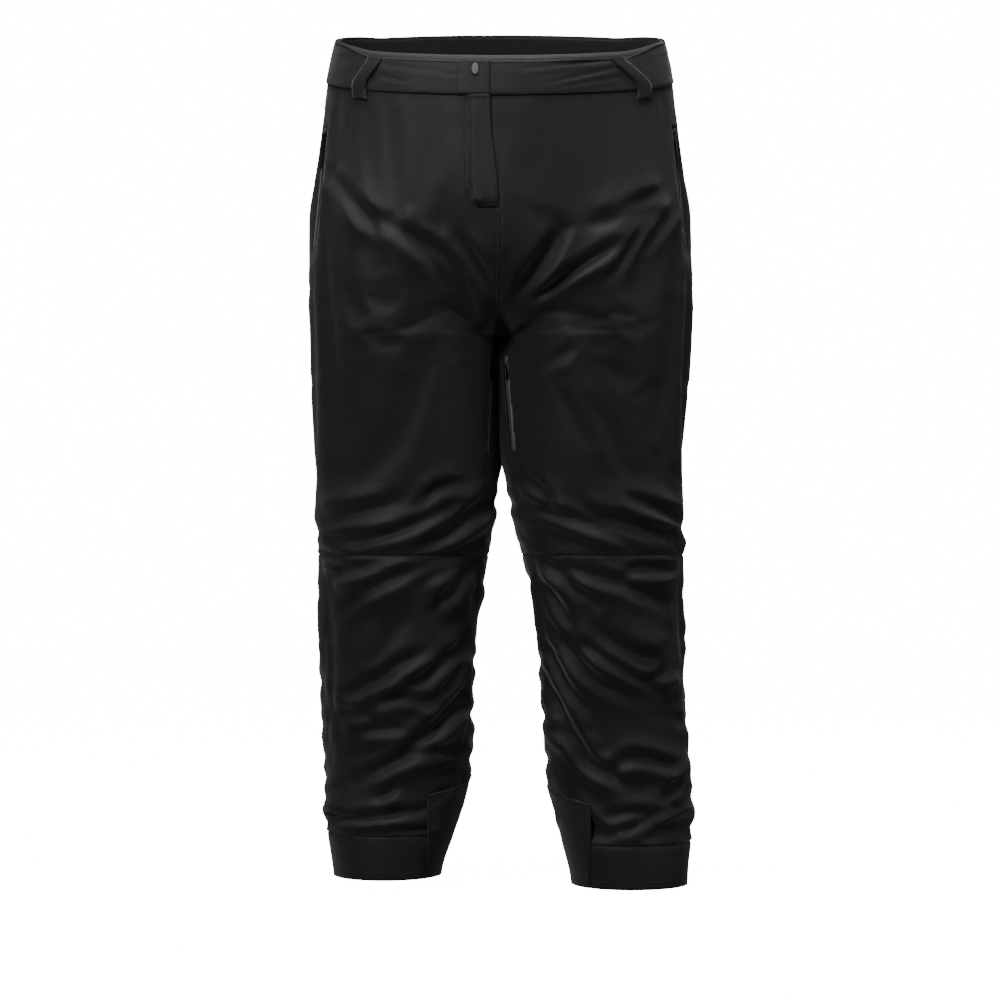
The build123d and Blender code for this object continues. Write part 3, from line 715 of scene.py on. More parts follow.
# ================================================================ materials
class Look:
    """A procedural material: nodes around a principled node."""

    def __init__(self, name):
        self.mat = bpy.data.materials.new(name)
        self.mat.use_nodes = True
        self.tree = self.mat.node_tree
        self.bsdf = self.tree.nodes["Principled BSDF"]
        self.coord = self.tree.nodes.new("ShaderNodeTexCoord").outputs["Object"]

    def node(self, kind, source, socket, result, values):
        """A node whose input socket comes from source. Returns its output result."""
        made = self.tree.nodes.new(kind)
        if kind == "ShaderNodeMix":
            made.data_type = "RGBA"
        for key, value in values.items():
            made.inputs[key].default_value = value
        self.tree.links.new(source, made.inputs[socket])
        return made.outputs[result]

    def noise(self, **values):
        return self.node("ShaderNodeTexNoise", self.coord, "Vector", "Fac", values)

    def colour(self, source, color, low, high):
        values = {"A": (*[c * low for c in color], 1), "B": (*[c * high for c in color], 1)}
        mixed = self.node("ShaderNodeMix", source, "Factor", "Result", values)
        self.tree.links.new(mixed, self.bsdf.inputs["Base Color"])

    def roughness(self, source, low, high):
        spread = self.node("ShaderNodeMapRange", source, "Value", "Result", {"To Min": low, "To Max": high})
        self.tree.links.new(spread, self.bsdf.inputs["Roughness"])

    def bump(self, source, strength, distance, under=None):
        values = {"Strength": strength, "Distance": distance}
        normal = self.node("ShaderNodeBump", source, "Height", "Normal", values)
        if under:
            self.tree.links.new(under, normal.node.inputs["Normal"])
        self.tree.links.new(normal, self.bsdf.inputs["Normal"])
        return normal


def cloth_material(name, color, rough=0.62, weave=1500.0, bump=0.25, sheen=0.25, crinkle=0.35):
    """Woven cloth: a fine weave over broad crinkles."""
    look = Look(name)
    fine = look.noise(Scale=weave, Detail=2)
    broad = look.noise(Scale=46, Detail=4, Roughness=0.55)
    look.colour(broad, color, 0.82, 1.18)
    look.bump(fine, bump, 0.0002, look.bump(broad, crinkle, 0.0012))
    look.roughness(fine, rough - 0.06, rough + 0.08)
    look.bsdf.inputs["Sheen Weight"].default_value = sheen
    look.bsdf.inputs["Sheen Roughness"].default_value = 0.5
    look.bsdf.inputs["Specular IOR Level"].default_value = 0.35
    return look.mat


def with_upper(ob):
    """Bakes ob's world transform into its mesh."""
    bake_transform(ob)


def with_lower(ob):
    """Bakes ob's world transform into its mesh."""
    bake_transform(ob)


SHELL = cloth_material("shell cloth", (0.0105, 0.0105, 0.011))

# ================================================================ the trousers
GRID = {}
upper, lower, hem_piece = {}, {}, {}
for s in ("r", "l"):
    g = GRID[s] = draped(s)
    slots = [ZIPS[f"pocket_{s}"], ZIPS[f"vent_{s}"]] + ([ZIPS["fly"]] if s == "r" else [])
    upper[s] = finish_cloth(new_object(f"upper_leg_{s}", *cut(g, 0, g["knee"]), SHELL), slots=slots)
    lower[s] = finish_cloth(new_object(f"lower_leg_{s}", *cut(g, g["knee"], g["seam"]), SHELL))
    hem_piece[s] = finish_cloth(new_object(f"hem_{s}", *cut(g, g["seam"], g["last"]), SHELL))
    with_upper(upper[s])
    with_lower(lower[s])
    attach(hem_piece[s], f"shin_{s}")
    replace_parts(upper[s], f"front_panel_{s}", f"back_panel_{s}", f"hip_fold_{s}", f"front_thigh_{s}",
                f"back_thigh_{s}")
    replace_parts(lower[s], f"front_knee_{s}", f"back_knee_{s}", f"front_shin_{s}", f"back_shin_{s}")
    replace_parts(hem_piece[s], f"hem_band_{s}")


# ================================================================ general builders
def grid_faces(rows, cols, wrap=False):
    faces = []
    span = cols if wrap else cols - 1
    for i in range(rows - 1):
        for j in range(span):
            k = (j + 1) % cols
            faces.append((i * cols + j, i * cols + k, (i + 1) * cols + k, (i + 1) * cols + j))
    return faces


def face_outwards(co, faces, centre_of):
    """Turns all faces over if the first ones look towards the middle."""
    n = vertex_normals(co, faces)
    if ((co - centre_of) * n * (1, 1, 0)).sum() < 0:
        faces = [f[::-1] for f in faces]
    return faces


def sheet_piece(name, pts, mat, thickness, wrap=False, centre=(0, 0, 0)):
    """A piece of cloth from a grid of points [row][column], given by its outer face."""
    rows, cols = pts.shape[:2]
    co = pts.reshape(-1, 3)
    faces = face_outwards(co, grid_faces(rows, cols, wrap), np.array(centre))
    return finish_cloth(new_object(name, co, faces, mat), thickness, levels=0)


def waist_point(phi, drop, lift=0.0):
    """A point of the hips and the normal there.

    phi runs from the front centre over the wearer's left side, drop down from the waist's plane.
    """
    phi, drop = np.broadcast_arrays(np.asarray(phi, float), np.asarray(drop, float))
    beta = np.where(phi <= math.pi, phi, 2 * math.pi - phi)
    sg = np.where(phi <= math.pi, 1.0, -1.0)

    def at(b, d):
        z = -d
        for _ in range(6):
            xo, _, yc, half = outline("l", z)
            y = yc - half * np.cos(b)
            z = TILT * y - d
        return np.stack([xo * np.sin(b), y, z], -1)

    p = at(beta, drop)
    e = 1e-3
    du, dv = at(beta + e, drop) - at(beta - e, drop), at(beta, drop + e) - at(beta, drop - e)
    n = np.cross(dv, du)
    n /= np.linalg.norm(n, axis=-1)[..., None]
    n *= np.sign((n * (p - np.array([0, 0.01, 0]))).sum(-1))[..., None]
    p = p + n * np.asarray(lift, float)[..., None]
    flip = np.stack([sg, np.ones_like(sg), np.ones_like(sg)], -1)
    return p * flip, n * flip


def phi_at(x, front=True):
    """The waist's angle for a point at that x."""
    b = math.asin(min(1.0, abs(x) / 0.2165))
    b = b if front else math.pi - b
    return b if x >= 0 else 2 * math.pi - b


def stitches(name, lines, pitch=0.0034, length=0.0024, width=0.0006, height=0.0004):
    """Short raised threads along lines of (point, normal)."""
    co, faces = [], []
    for pts, nrm in lines:
        pts, nrm = np.asarray(pts), np.asarray(nrm)
        seg = np.linalg.norm(np.diff(pts, axis=0), axis=1)
        run = np.concatenate([[0], np.cumsum(seg)])
        for t in np.arange(pitch / 2, run[-1], pitch):
            k = min(np.searchsorted(run, t) - 1, len(seg) - 1)
            k = max(k, 0)
            f = (t - run[k]) / max(seg[k], 1e-9)
            p = pts[k] + (pts[k + 1] - pts[k]) * f
            n = unit(nrm[k] + (nrm[k + 1] - nrm[k]) * f)
            d = unit(pts[k + 1] - pts[k])
            b = unit(np.cross(n, d))
            start = len(co)
            for along, wide, up in ((-1, 0, -0.2), (-0.55, -1, 0), (-0.55, 0, 1), (-0.55, 1, 0),
                                    (0.55, -1, 0), (0.55, 0, 1), (0.55, 1, 0), (1, 0, -0.2)):
                co.append(p + d * along * length / 2 + b * wide * width / 2 + n * up * height)
            for tri in ((0, 2, 1), (0, 3, 2), (7, 4, 5), (7, 5, 6), (1, 2, 5, 4), (2, 3, 6, 5),
                        (0, 1, 4, 7), (0, 7, 6, 3)):
                faces.append(tuple(start + i for i in tri))
    return new_object(name, np.array(co), faces, THREAD)


def on_piece(names, points):
    """The nearest places on the outer faces of those pieces, and the normals there."""
    out, nrm = [], []
    for p in points:
        best = None
        for n in names:
            hit = SURFACE[n].find_nearest(Vector(p))
            if hit[0] is not None and (best is None or hit[3] < best[3]):
                best = hit
        out.append(np.array(best[0]))
        nrm.append(np.array(best[1]))
    return np.array(out), np.array(nrm)


def leg_ring(side, z, theta):
    """Points of the leg's outline: theta 0 is the inner side, pi/2 the front and pi the outer side."""
    xo, xi, yc, half = outline(side, z)
    x = (xo + xi) / 2 - (xo - xi) / 2 * np.cos(theta)
    return np.stack([SIGN[side] * x, yc - half * np.sin(theta), np.broadcast_to(z, np.shape(x))], -1)


def leg_sheet(side, z, theta, inset):
    """The leg's outline moved inwards."""
    xo, xi, yc, half = outline(side, z)
    x = (xo + xi) / 2 - ((xo - xi) / 2 - inset) * np.cos(theta)
    y = yc - (half - inset) * np.sin(theta)
    return np.stack([SIGN[side] * x, y, np.broadcast_to(z, np.shape(x))], -1)


THREAD = cloth_material("thread", (0.011, 0.011, 0.0115), rough=0.5, weave=2600)
LINING = cloth_material("lining cloth", (0.012, 0.012, 0.0125), rough=0.55, crinkle=0.5)
GUARD = cloth_material("guard cloth", (0.0125, 0.0125, 0.013), rough=0.75, weave=1100, bump=0.6, crinkle=0.15)
GAITER = cloth_material("gaiter cloth", (0.010, 0.010, 0.0105), rough=0.5, crinkle=0.5)
ELASTIC = cloth_material("elastic", (0.009, 0.009, 0.0095), rough=0.8, weave=1800, bump=0.7)
TAPE = cloth_material("zip tape", (0.008, 0.008, 0.0085), rough=0.8, weave=2400, bump=0.6, crinkle=0.1)
# painted light: the facing's colour is lighter than the shell's, standing in for light falling on the inside
# of the back waist
FACING_PAINTED_LIGHT = cloth_material("facing cloth painted light", (0.026, 0.026, 0.027), rough=0.6, weave=1600, bump=0.4, crinkle=0.3)
WEBBING = cloth_material("webbing", (0.0105, 0.0105, 0.011), rough=0.65, weave=1300, bump=0.5, crinkle=0.2)


def hard_material(name, color, rough, metal, bump=0.15, scale=260):
    """Metal, rubber or plastic with a slightly uneven face."""
    look = Look(name)
    grain = look.noise(Scale=scale, Detail=5)
    look.colour(grain, color, 0.8, 1.15)
    look.roughness(grain, rough - 0.07, rough + 0.1)
    look.bump(grain, bump, 0.0001)
    look.bsdf.inputs["Metallic"].default_value = metal
    return look.mat


COIL = hard_material("zip coil", (0.012, 0.012, 0.012), 0.42, 0.0)
RUBBER = hard_material("puller rubber", (0.014, 0.014, 0.0145), 0.45, 0.0, 0.3, 500)
METAL = hard_material("zip metal", (0.10, 0.10, 0.105), 0.32, 1.0)
SNAP = hard_material("snap metal", (0.15, 0.15, 0.155), 0.33, 1.0, 0.2, 180)
GRIP = hard_material("grip", (0.02, 0.02, 0.02), 0.6, 0.0)

# ================================================================ waist
BAND_FOLDS = [
    (1.3, 0.9, (164, -28), (90, -40), (24, -48)), (1.6, 0.9, (160, -38), (110, -52), (58, -66)),
    (1.5, 0.8, (166, -50), (120, -60), (70, -70)), (1.0, 0.8, (150, -33), (120, -36), (60, -40)),
    (1.1, 0.8, (-150, -52), (-126, -60), (-112, -62)), (0.9, 0.8, (-150, -40), (-90, -50), (-40, -56)),
    (0.8, 0.8, (-165, -34), (-120, -42), (-70, -48)),
]


def waist_ring(drops, rise, columns=280):
    """Rings of the waist. Its sides stand up by rise over the front."""
    phi = np.linspace(0, 2 * math.pi, columns, endpoint=False)
    drops = np.asarray(drops)[:, None]
    share = (drops.max() - drops) / (drops.max() - drops.min())
    side = smooth(0.72, 0.97, np.abs(np.sin(phi)))[None, :]
    pts, nrm = waist_point(phi[None, :], drops - rise * share * side, 0.0)
    return pts, nrm, phi


drops = np.concatenate([[0.0088], np.linspace(0.008, 0.050, 15), [0.0494]])
pts, nrm, phi = waist_ring(drops, 0.0125)
t = (drops - BAND_TOP) / (BAND_LOW - BAND_TOP)
puff = 0.0008 * np.clip(np.sin(np.pi * np.clip(t, 0, 1)), 0, 1) ** 0.5
lift = np.broadcast_to((0.0013 + puff)[:, None], pts.shape[:2]).copy()
lift[0] = lift[-1] = 0.0006
flat_xz = pts.reshape(-1, 3)[:, [0, 2]]
front_side = smooth(0.02, -0.02, pts[..., 1])
crease = fold_height(flat_xz, BAND_FOLDS, 1.0, 0.0011, 0.0026).reshape(lift.shape) * front_side
wave = np.array([noise.noise(Vector((p[0] * 30, p[1] * 30, p[2] * 60))) for p in pts.reshape(-1, 3)])
gather = 0.0005 * np.sin(phi * 92)[None, :] * smooth(0.02, 0.06, pts[..., 1])
gather = gather * np.sin(np.pi * np.clip(t, 0, 1))[:, None]
lift += crease + 0.0006 * wave.reshape(lift.shape) + gather
band = sheet_piece("waistband", pts + nrm * lift[..., None], SHELL, 0.0020, wrap=True)
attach(band, "pelvis")
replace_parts(band, "waistband_front_r", "waistband_front_l", "waistband_back")

drops_f = np.concatenate([[0.0010], np.linspace(0.0, 0.047, 9)])
pts, nrm, phi = waist_ring(drops_f, 0.0052, 200)
lift = np.full(pts.shape[:2], -0.0031) + 0.0003 * np.sin(phi * 23)[None, :]
lift[0] -= 0.0009
# the facing takes the lightened colour, painted light inside the back waist
facing = sheet_piece("waist_facing_cloth", pts + nrm * lift[..., None], FACING_PAINTED_LIGHT, 0.0010, wrap=True)
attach(facing, "pelvis")
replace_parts(facing, "waist_facing")

phi = np.linspace(phi_at(0.2, False) - 0.28, 2 * math.pi - (phi_at(0.2, False) - 0.28), 300)
pts, nrm = waist_point(phi[None, :], np.linspace(0.014, 0.044, 9)[:, None])
lift = np.broadcast_to(-0.0014 + 0.0002 * np.sin(phi * 150)[None, :], pts.shape[:2])
elastic = sheet_piece("waist_elastic_strip", pts + nrm * lift[..., None], ELASTIC, 0.0011)
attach(elastic, "pelvis")
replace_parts(elastic, "waist_elastic")

ring = np.linspace(0, 2 * math.pi, 420)
rows = []
for drop in (0.0098, 0.0482):
    q, _ = waist_point(ring, np.full_like(ring, drop), 0.0014)
    rows.append(on_piece(["waistband"], q))
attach(stitches("waistband_stitches", rows), "pelvis")


# ================================================================ belt loops
LOOP_WIDTH = 0.0170


def strap(name, path, front):
    """A belt loop. Its path is given as x, drop and lift, all in millimetres."""
    path = np.array(path, float) * MM
    s_old = np.linspace(0, 1, len(path))
    dense = curve_through(path[:, :2] / MM, 8)
    lifts = np.interp(np.linspace(0, 1, len(dense)), s_old, path[:, 2])
    kernel = np.ones(5) / 5
    lifts = np.convolve(np.pad(lifts, 2, mode="edge"), kernel, mode="valid")
    rows = []
    for (x, drop), lift in zip(dense, lifts):
        row = []
        for w in np.linspace(-0.5, 0.5, 7):
            q, _ = waist_point(np.array(phi_at(x + w * LOOP_WIDTH, front)), np.array(drop),
                               np.array(lift - 0.0006 * (2 * w) ** 2))
            row.append(q)
        rows.append(row)
    ob = sheet_piece(name, np.array(rows), WEBBING, 0.0013)
    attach(ob, "pelvis")
    return ob


RIGHT_LOOP = [(-156, 8, 3.9), (-156, 12, 4.6), (-158, 19, 6.0), (-163, 28, 6.4),
              (-168, 37, 6.0), (-170, 45, 5.0), (-169, 54, 3.6), (-167, 61, 2.8)]
LEFT_LOOP = [(145, 8, 3.9), (148, 13, 4.8), (155, 21, 6.2), (163, 30, 6.6),
             (170, 38, 6.2), (174, 46, 5.2), (174, 54, 3.8), (172, 61, 2.8)]
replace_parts(strap("belt_loop_right", RIGHT_LOOP, True), "belt_loop_front_r")
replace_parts(strap("belt_loop_left", LEFT_LOOP, True), "belt_loop_front_l")
low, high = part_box("belt_loops_back")
for i, x in enumerate((low[0] / MM + 8, -24, high[0] / MM - 8)):
    path = [(x, 9, 3.8), (x, 13, 6), (x, 21, 10), (x, 30, 10.6), (x, 39, 9.6), (x, 46, 6), (x, 51, 3.4)]
    ob = strap(f"belt_loop_back_{i}", path, False)
    if i == 1:
        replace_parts(ob, "belt_loops_back")
    foot = []
    for drop in (10.2, 11.4, 49.0, 50.2):
        line = [waist_point(np.array(phi_at((x + w) * MM, False)), np.array(drop * MM), np.array(0.003))[0]
                for w in (-5, 0, 5)]
        foot.append(on_piece([ob.name], line))
    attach(stitches(f"belt_loop_back_{i}_tacks", foot, pitch=0.0011, length=0.001), "pelvis")
for name, places in (("belt_loop_right", ((-156, 10.5), (-156, 11.6), (-168, 57.5), (-167.6, 58.6))),
                     ("belt_loop_left", ((146.5, 10.5), (147.2, 11.6), (173, 57.5), (172.6, 58.6)))):
    foot = []
    for x, drop in places:
        line = [waist_point(np.array(phi_at((x + w) * MM)), np.array(drop * MM), np.array(0.003))[0]
                for w in (-5, 0, 5)]
        foot.append(on_piece([name], line))
    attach(stitches(f"{name}_tacks", foot, pitch=0.0011, length=0.001), "pelvis")

# ================================================================ fly
fly_joint = joint("fly_open")
hinge_pos, hinge_axis = np.array(fly_joint["pos_m"]), unit(fly_joint["axis"])
across_hinge = np.cross(hinge_axis, (0, -1, 0))
across_hinge = unit(across_hinge * np.sign(across_hinge[0]))


def hinge_x(z):
    return hinge_pos[0] + hinge_axis[0] / hinge_axis[2] * (z - hinge_pos[2])


def with_fly(ob):
    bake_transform(ob)


def cloth_front(x, z):
    """The y of the front cloth or waistband at x and z."""
    best = 0.0
    for n in ("upper_leg_r", "upper_leg_l", "waistband"):
        hit = SURFACE[n].ray_cast(Vector((x, -0.5, z)), Vector((0, 1, 0)), 0.7)
        if hit[0] is not None:
            best = min(best, hit[0][1])
    return best


EDGE_Z = [-0.222, -0.185, -0.130, -0.095, 0.0]
EDGE_X = [-0.0025, -0.0040, -0.0110, -0.0125, -0.0125]
CURVE_Z = [-0.2215, -0.2129, -0.196]
CURVE_X = [-0.0275, -0.0390, -0.0445]


SLIDE = joint("fly_slide")
RUN = np.array(SLIDE["axis"]) * SLIDE["range_m"][1]
PULLER = node_points("fly_puller")
PULLER_SLOPE = RUN[1] / RUN[2]
PULLER_FACE = float((PULLER[:, 1] - PULLER_SLOPE * PULLER[:, 2]).min())
PULLER_X = (float(PULLER[:, 0].min()), float(PULLER[:, 0].max()))
PULLER_Z = (float(PULLER[:, 2].min() + RUN[2]), float(PULLER[:, 2].max()))


def over_puller(x, y, z):
    """The y that lets the puller run by under the flap at x and z."""
    beside = max(PULLER_X[0] - x, x - PULLER_X[1], 0.0)
    beyond = max(PULLER_Z[0] - z, z - PULLER_Z[1], 0.0)
    clear = PULLER_FACE + PULLER_SLOPE * z - 0.0021
    near = float(smooth(0.0075, 0.0015, beside)) * float(smooth(0.009, 0.002, beyond))
    return y + (min(y, clear) - y) * near


def flap_points(zs):
    rows = []
    for z in zs:
        x0 = max(hinge_x(z) + 0.0003, float(np.interp(z, CURVE_Z, CURVE_X)))
        x1 = float(np.interp(z, EDGE_Z, EDGE_X))
        row = []
        for u in np.linspace(0, 1, 20):
            x = x0 + (x1 - x0) * u
            rise = 0.00142 + 0.0035 * float(smooth(0, 0.013, x - x0)) * float(smooth(-0.2215, -0.2140, z))
            rise -= 0.0007 * float(smooth(0.0022, 0.0, x1 - x))
            row.append((x, cloth_front(x, z) - rise, z))
        rows.append(row)
    pts = np.array(rows)
    y = pts[..., 1]
    for _ in range(3):
        y[1:-1] = (y[:-2] + 2 * y[1:-1] + y[2:]) / 4
    for p in pts.reshape(-1, 3):
        p[1] = over_puller(*p)
    return pts


def tab_points(drops):
    x0, x1 = hinge_pos[0] + 0.0003, -0.0125
    rows = []
    for drop in drops:
        row = []
        for u in np.linspace(0, 1, 20):
            x = x0 + (x1 - x0) * u
            p, n = waist_point(np.array(phi_at(x)), np.array(drop))
            under = cloth_front(p[0], p[2])
            high = p + n * (0.0049 - 0.0005 * float(smooth(0.0022, 0.0, x1 - x)))
            low = np.array([p[0], under - 0.00142, p[2]])
            w = float(smooth(0, 0.012, x - x0))
            row.append(low + (high - low) * w)
        rows.append(row)
    return np.array(rows)


def front_z(drop):
    return -TILT * 0.131 - drop


flap = sheet_piece("fly_flap_cloth", flap_points(np.linspace(front_z(0.0508), -0.2215, 52)), SHELL, 0.0013)
with_fly(flap)
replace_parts(flap, "fly_flap")
tab = sheet_piece("waist_tab_cloth", tab_points(np.linspace(0.0078, 0.0500, 16)), SHELL, 0.0012)
with_fly(tab)
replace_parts(tab, "waist_tab")

rows = []
edge = [(float(np.interp(z, EDGE_Z, EDGE_X)) - 0.0028, z) for z in np.linspace(-0.0685, -0.19, 50)]
rows.append(on_piece(["fly_flap_cloth"], [(x, cloth_front(x, z) - 0.004, z) for x, z in edge]))
st = stitches("fly_edge_stitches", rows)
with_fly(st)
rows = []
for line in ([(-0.049, front_z(0.0105)), (-0.0150, front_z(0.0105))],
             [(-0.0150, front_z(0.0105)), (-0.0150, front_z(0.0478))],
             [(-0.049 + 0.012, front_z(0.0478)), (-0.0150, front_z(0.0478))]):
    q = np.linspace(line[0], line[1], 20)
    rows.append(on_piece(["waist_tab_cloth"], [(x, -0.140, z) for x, z in q]))
st = stitches("waist_tab_stitches", rows)
with_fly(st)
rows = []
for o in (0.0, 5.5):
    j = curve_through([(-48 + o, -78), (-44 + o, -150), (-40 + o, -194 + o * 0.3),
                       (-34 + o * 0.6, -209 + o * 0.8), (-22, -218 + o), (-5, -219 + o)], 12)
    rows.append(on_piece(["fly_flap_cloth"], [(x, cloth_front(x, z) - 0.004, z) for x, z in j]))
st = stitches("fly_stitches", rows)
with_fly(st)
rows = []
for i in range(6):
    z = -0.2235 - i * 0.0008
    rows.append(on_piece(["upper_leg_r"], [(x, cloth_front(x, z), z) for x in (-0.0120, -0.006, -0.0012)]))
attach(stitches("fly_tack", rows), "pelvis")

shield_pts = []
for z in np.linspace(front_z(0.052), -0.2215, 30):
    shield_pts.append([(x, cloth_front(x, z) + 0.0050, z) for x in np.linspace(-0.050, 0.0145, 14)])
shield = sheet_piece("fly_shield_cloth", np.array(shield_pts), SHELL, 0.0009)
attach(shield, "pelvis")
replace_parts(shield, "fly_shield")


# ================================================================ zips
def swept(profile, f, us, sway=0.0):
    """A bar with that cross section (across, out) along a zip's line, as points and faces."""
    rows = []
    for i, u in enumerate(us):
        rows.append([f.place(a, u, o + sway * math.sin(i * 1.9)) for a, o in profile])
    k = len(profile)
    co = np.array(rows).reshape(-1, 3)
    faces = grid_faces(len(us), k, wrap=True)
    faces.append(tuple(range(k))[::-1])
    faces.append(tuple(range((len(us) - 1) * k, len(us) * k)))
    return co, faces


def joined(name, blocks, mat):
    co, faces, start = [], [], 0
    for c, fs in blocks:
        co.append(c)
        faces += [tuple(i + start for i in face) for face in fs]
        start += len(c)
    ob = new_object(name, np.concatenate(co), faces, mat)
    bm = bmesh.new()
    bm.from_mesh(ob.data)
    bmesh.ops.recalc_face_normals(bm, faces=bm.faces)
    bm.to_mesh(ob.data)
    bm.free()
    return ob


def zip_pieces(name, f):
    """A zip's two tapes and its teeth."""
    us = np.arange(f.low + 0.0045, f.high - 0.0015, 0.0021)
    blocks = []
    for sg in (-1, 1):
        top, base = -0.00062, -0.00128
        outer, inner = sg * 0.00585, sg * 0.0009
        mid = sg * 0.0018
        profile = [(outer, base), (outer, top), (mid, top), (mid, top + 0.0001), (inner, top + 0.0001),
                   (inner, base)]
        blocks.append(swept(profile, f, us, 0.00003))
    tape = joined(f"{name}_tape_cloth", blocks, TAPE)
    blocks = []
    pitch = 0.00125
    for i, u in enumerate(np.arange(us[0] + 0.001, us[-1] - 0.001, pitch)):
        sg = 1 if i % 2 else -1
        profile = [(sg * 0.0007, -0.0007), (sg * 0.0007, -0.0012), (sg * 0.00035, -0.0015),
                   (-sg * 0.0005, -0.0013), (-sg * 0.0005, -0.0006), (sg * 0.00035, -0.0004)]
        blocks.append(swept(profile, f, [u, u + pitch * 0.8]))
    teeth = joined(f"{name}_teeth", blocks, COIL)
    return tape, teeth


def slot_stitches(name, f, piece, gap=0.0024):
    a, low, high = SLOT + gap, f.low + SLOT_LOW - gap, f.high - SLOT_HIGH + gap
    corners = [(-a, low), (a, low), (a, high), (-a, high), (-a, low)]
    rows = []
    for p, q in zip(corners[:-1], corners[1:]):
        line = [f.place(x, u, 0) for x, u in np.linspace(p, q, 24)]
        rows.append(on_piece([piece], line))
    return stitches(name, rows)


for s in SIGN:
    f = ZIPS[f"pocket_{s}"]
    tape, teeth = zip_pieces(f"pocket_{s}", f)
    for ob in (tape, teeth, slot_stitches(f"pocket_{s}_stitches", f, f"upper_leg_{s}")):
        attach(ob, "pelvis")
    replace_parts(tape, f"pocket_{s}_tape")
    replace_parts(teeth, f"pocket_{s}_coil")
    f = ZIPS[f"vent_{s}"]
    tape, teeth = zip_pieces(f"vent_{s}", f)
    shape = frame["nodes"][f"vent_slider_{s}"].data.copy()
    slider = bpy.data.objects.new(f"vent_{s}_slider_cloth_fixed", shape)
    slider.data.materials.clear()
    slider.data.materials.append(METAL)
    bpy.context.collection.objects.link(slider)
    for ob in (tape, teeth, slider, slot_stitches(f"vent_{s}_stitches", f, f"upper_leg_{s}")):
        with_upper(ob)
    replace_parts(tape, f"vent_zip_{s}")
    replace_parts(slider, f"vent_slider_{s}")
tape, teeth = zip_pieces("fly", ZIPS["fly"])
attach(tape, "pelvis")
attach(teeth, "pelvis")
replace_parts(tape, "fly_tape")
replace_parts(teeth, "fly_coil")

# ================================================================ inside: lining and pocket bags
for s in SIGN:
    beta = np.linspace(0, math.pi, 64)
    rows = []
    for t in np.linspace(0, 1, 44):
        z = np.full_like(beta, -0.2)
        for _ in range(8):
            x, y = around(s, beta, z, part_ratio(beta, z - CROTCH))
            top = TILT * y - 0.0535
            bottom = CROTCH + 0.014 + np.abs(x) * math.tan(math.radians(25))
            z = top + (bottom - top) * t
        x[0] = x[-1] = 0
        rows.append(np.stack([x, y, z], 1))
    pts = np.array(rows)
    co = pts.reshape(-1, 3)
    n = vertex_normals(co, face_outwards(co, grid_faces(44, 64), np.array((0, 0, 0)))).reshape(pts.shape)
    loose = np.array([noise.noise(Vector((p[0] * 24, p[1] * 24, p[2] * 14))) for p in co])
    pts = pts - n * (0.0128 + 0.0009 * loose.reshape(pts.shape[:2]))[..., None]
    pts[:, 0, 0] = pts[:, -1, 0] = 0
    lining = sheet_piece(f"lining_{s}", pts, LINING, 0.0008)
    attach(lining, "pelvis")
    if s == "r":
        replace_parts(lining, "seat_lining")
    low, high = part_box(f"pocket_bag_{s}")
    rows = []
    for z in np.linspace(high[2], low[2], 26):
        xo, xi, yc, half = (float(v) for v in outline(s, z))
        beta = np.linspace(math.asin(0.095 / xo), math.acos(float(np.clip((yc + 0.056) / half, -1, 1))), 26)
        x, y = around(s, beta, np.full_like(beta, z), part_ratio(beta, np.full_like(beta, z - CROTCH)))
        rows.append(np.stack([x, y, np.full_like(beta, z)], 1))
    pts = np.array(rows)
    co = pts.reshape(-1, 3)
    n = vertex_normals(co, face_outwards(co, grid_faces(26, 26), np.array((0, 0, 0)))).reshape(pts.shape)
    bag = sheet_piece(f"pocket_bag_{s}_cloth", pts - n * 0.0108, LINING, 0.0011)
    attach(bag, "pelvis")
    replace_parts(bag, f"pocket_bag_{s}")

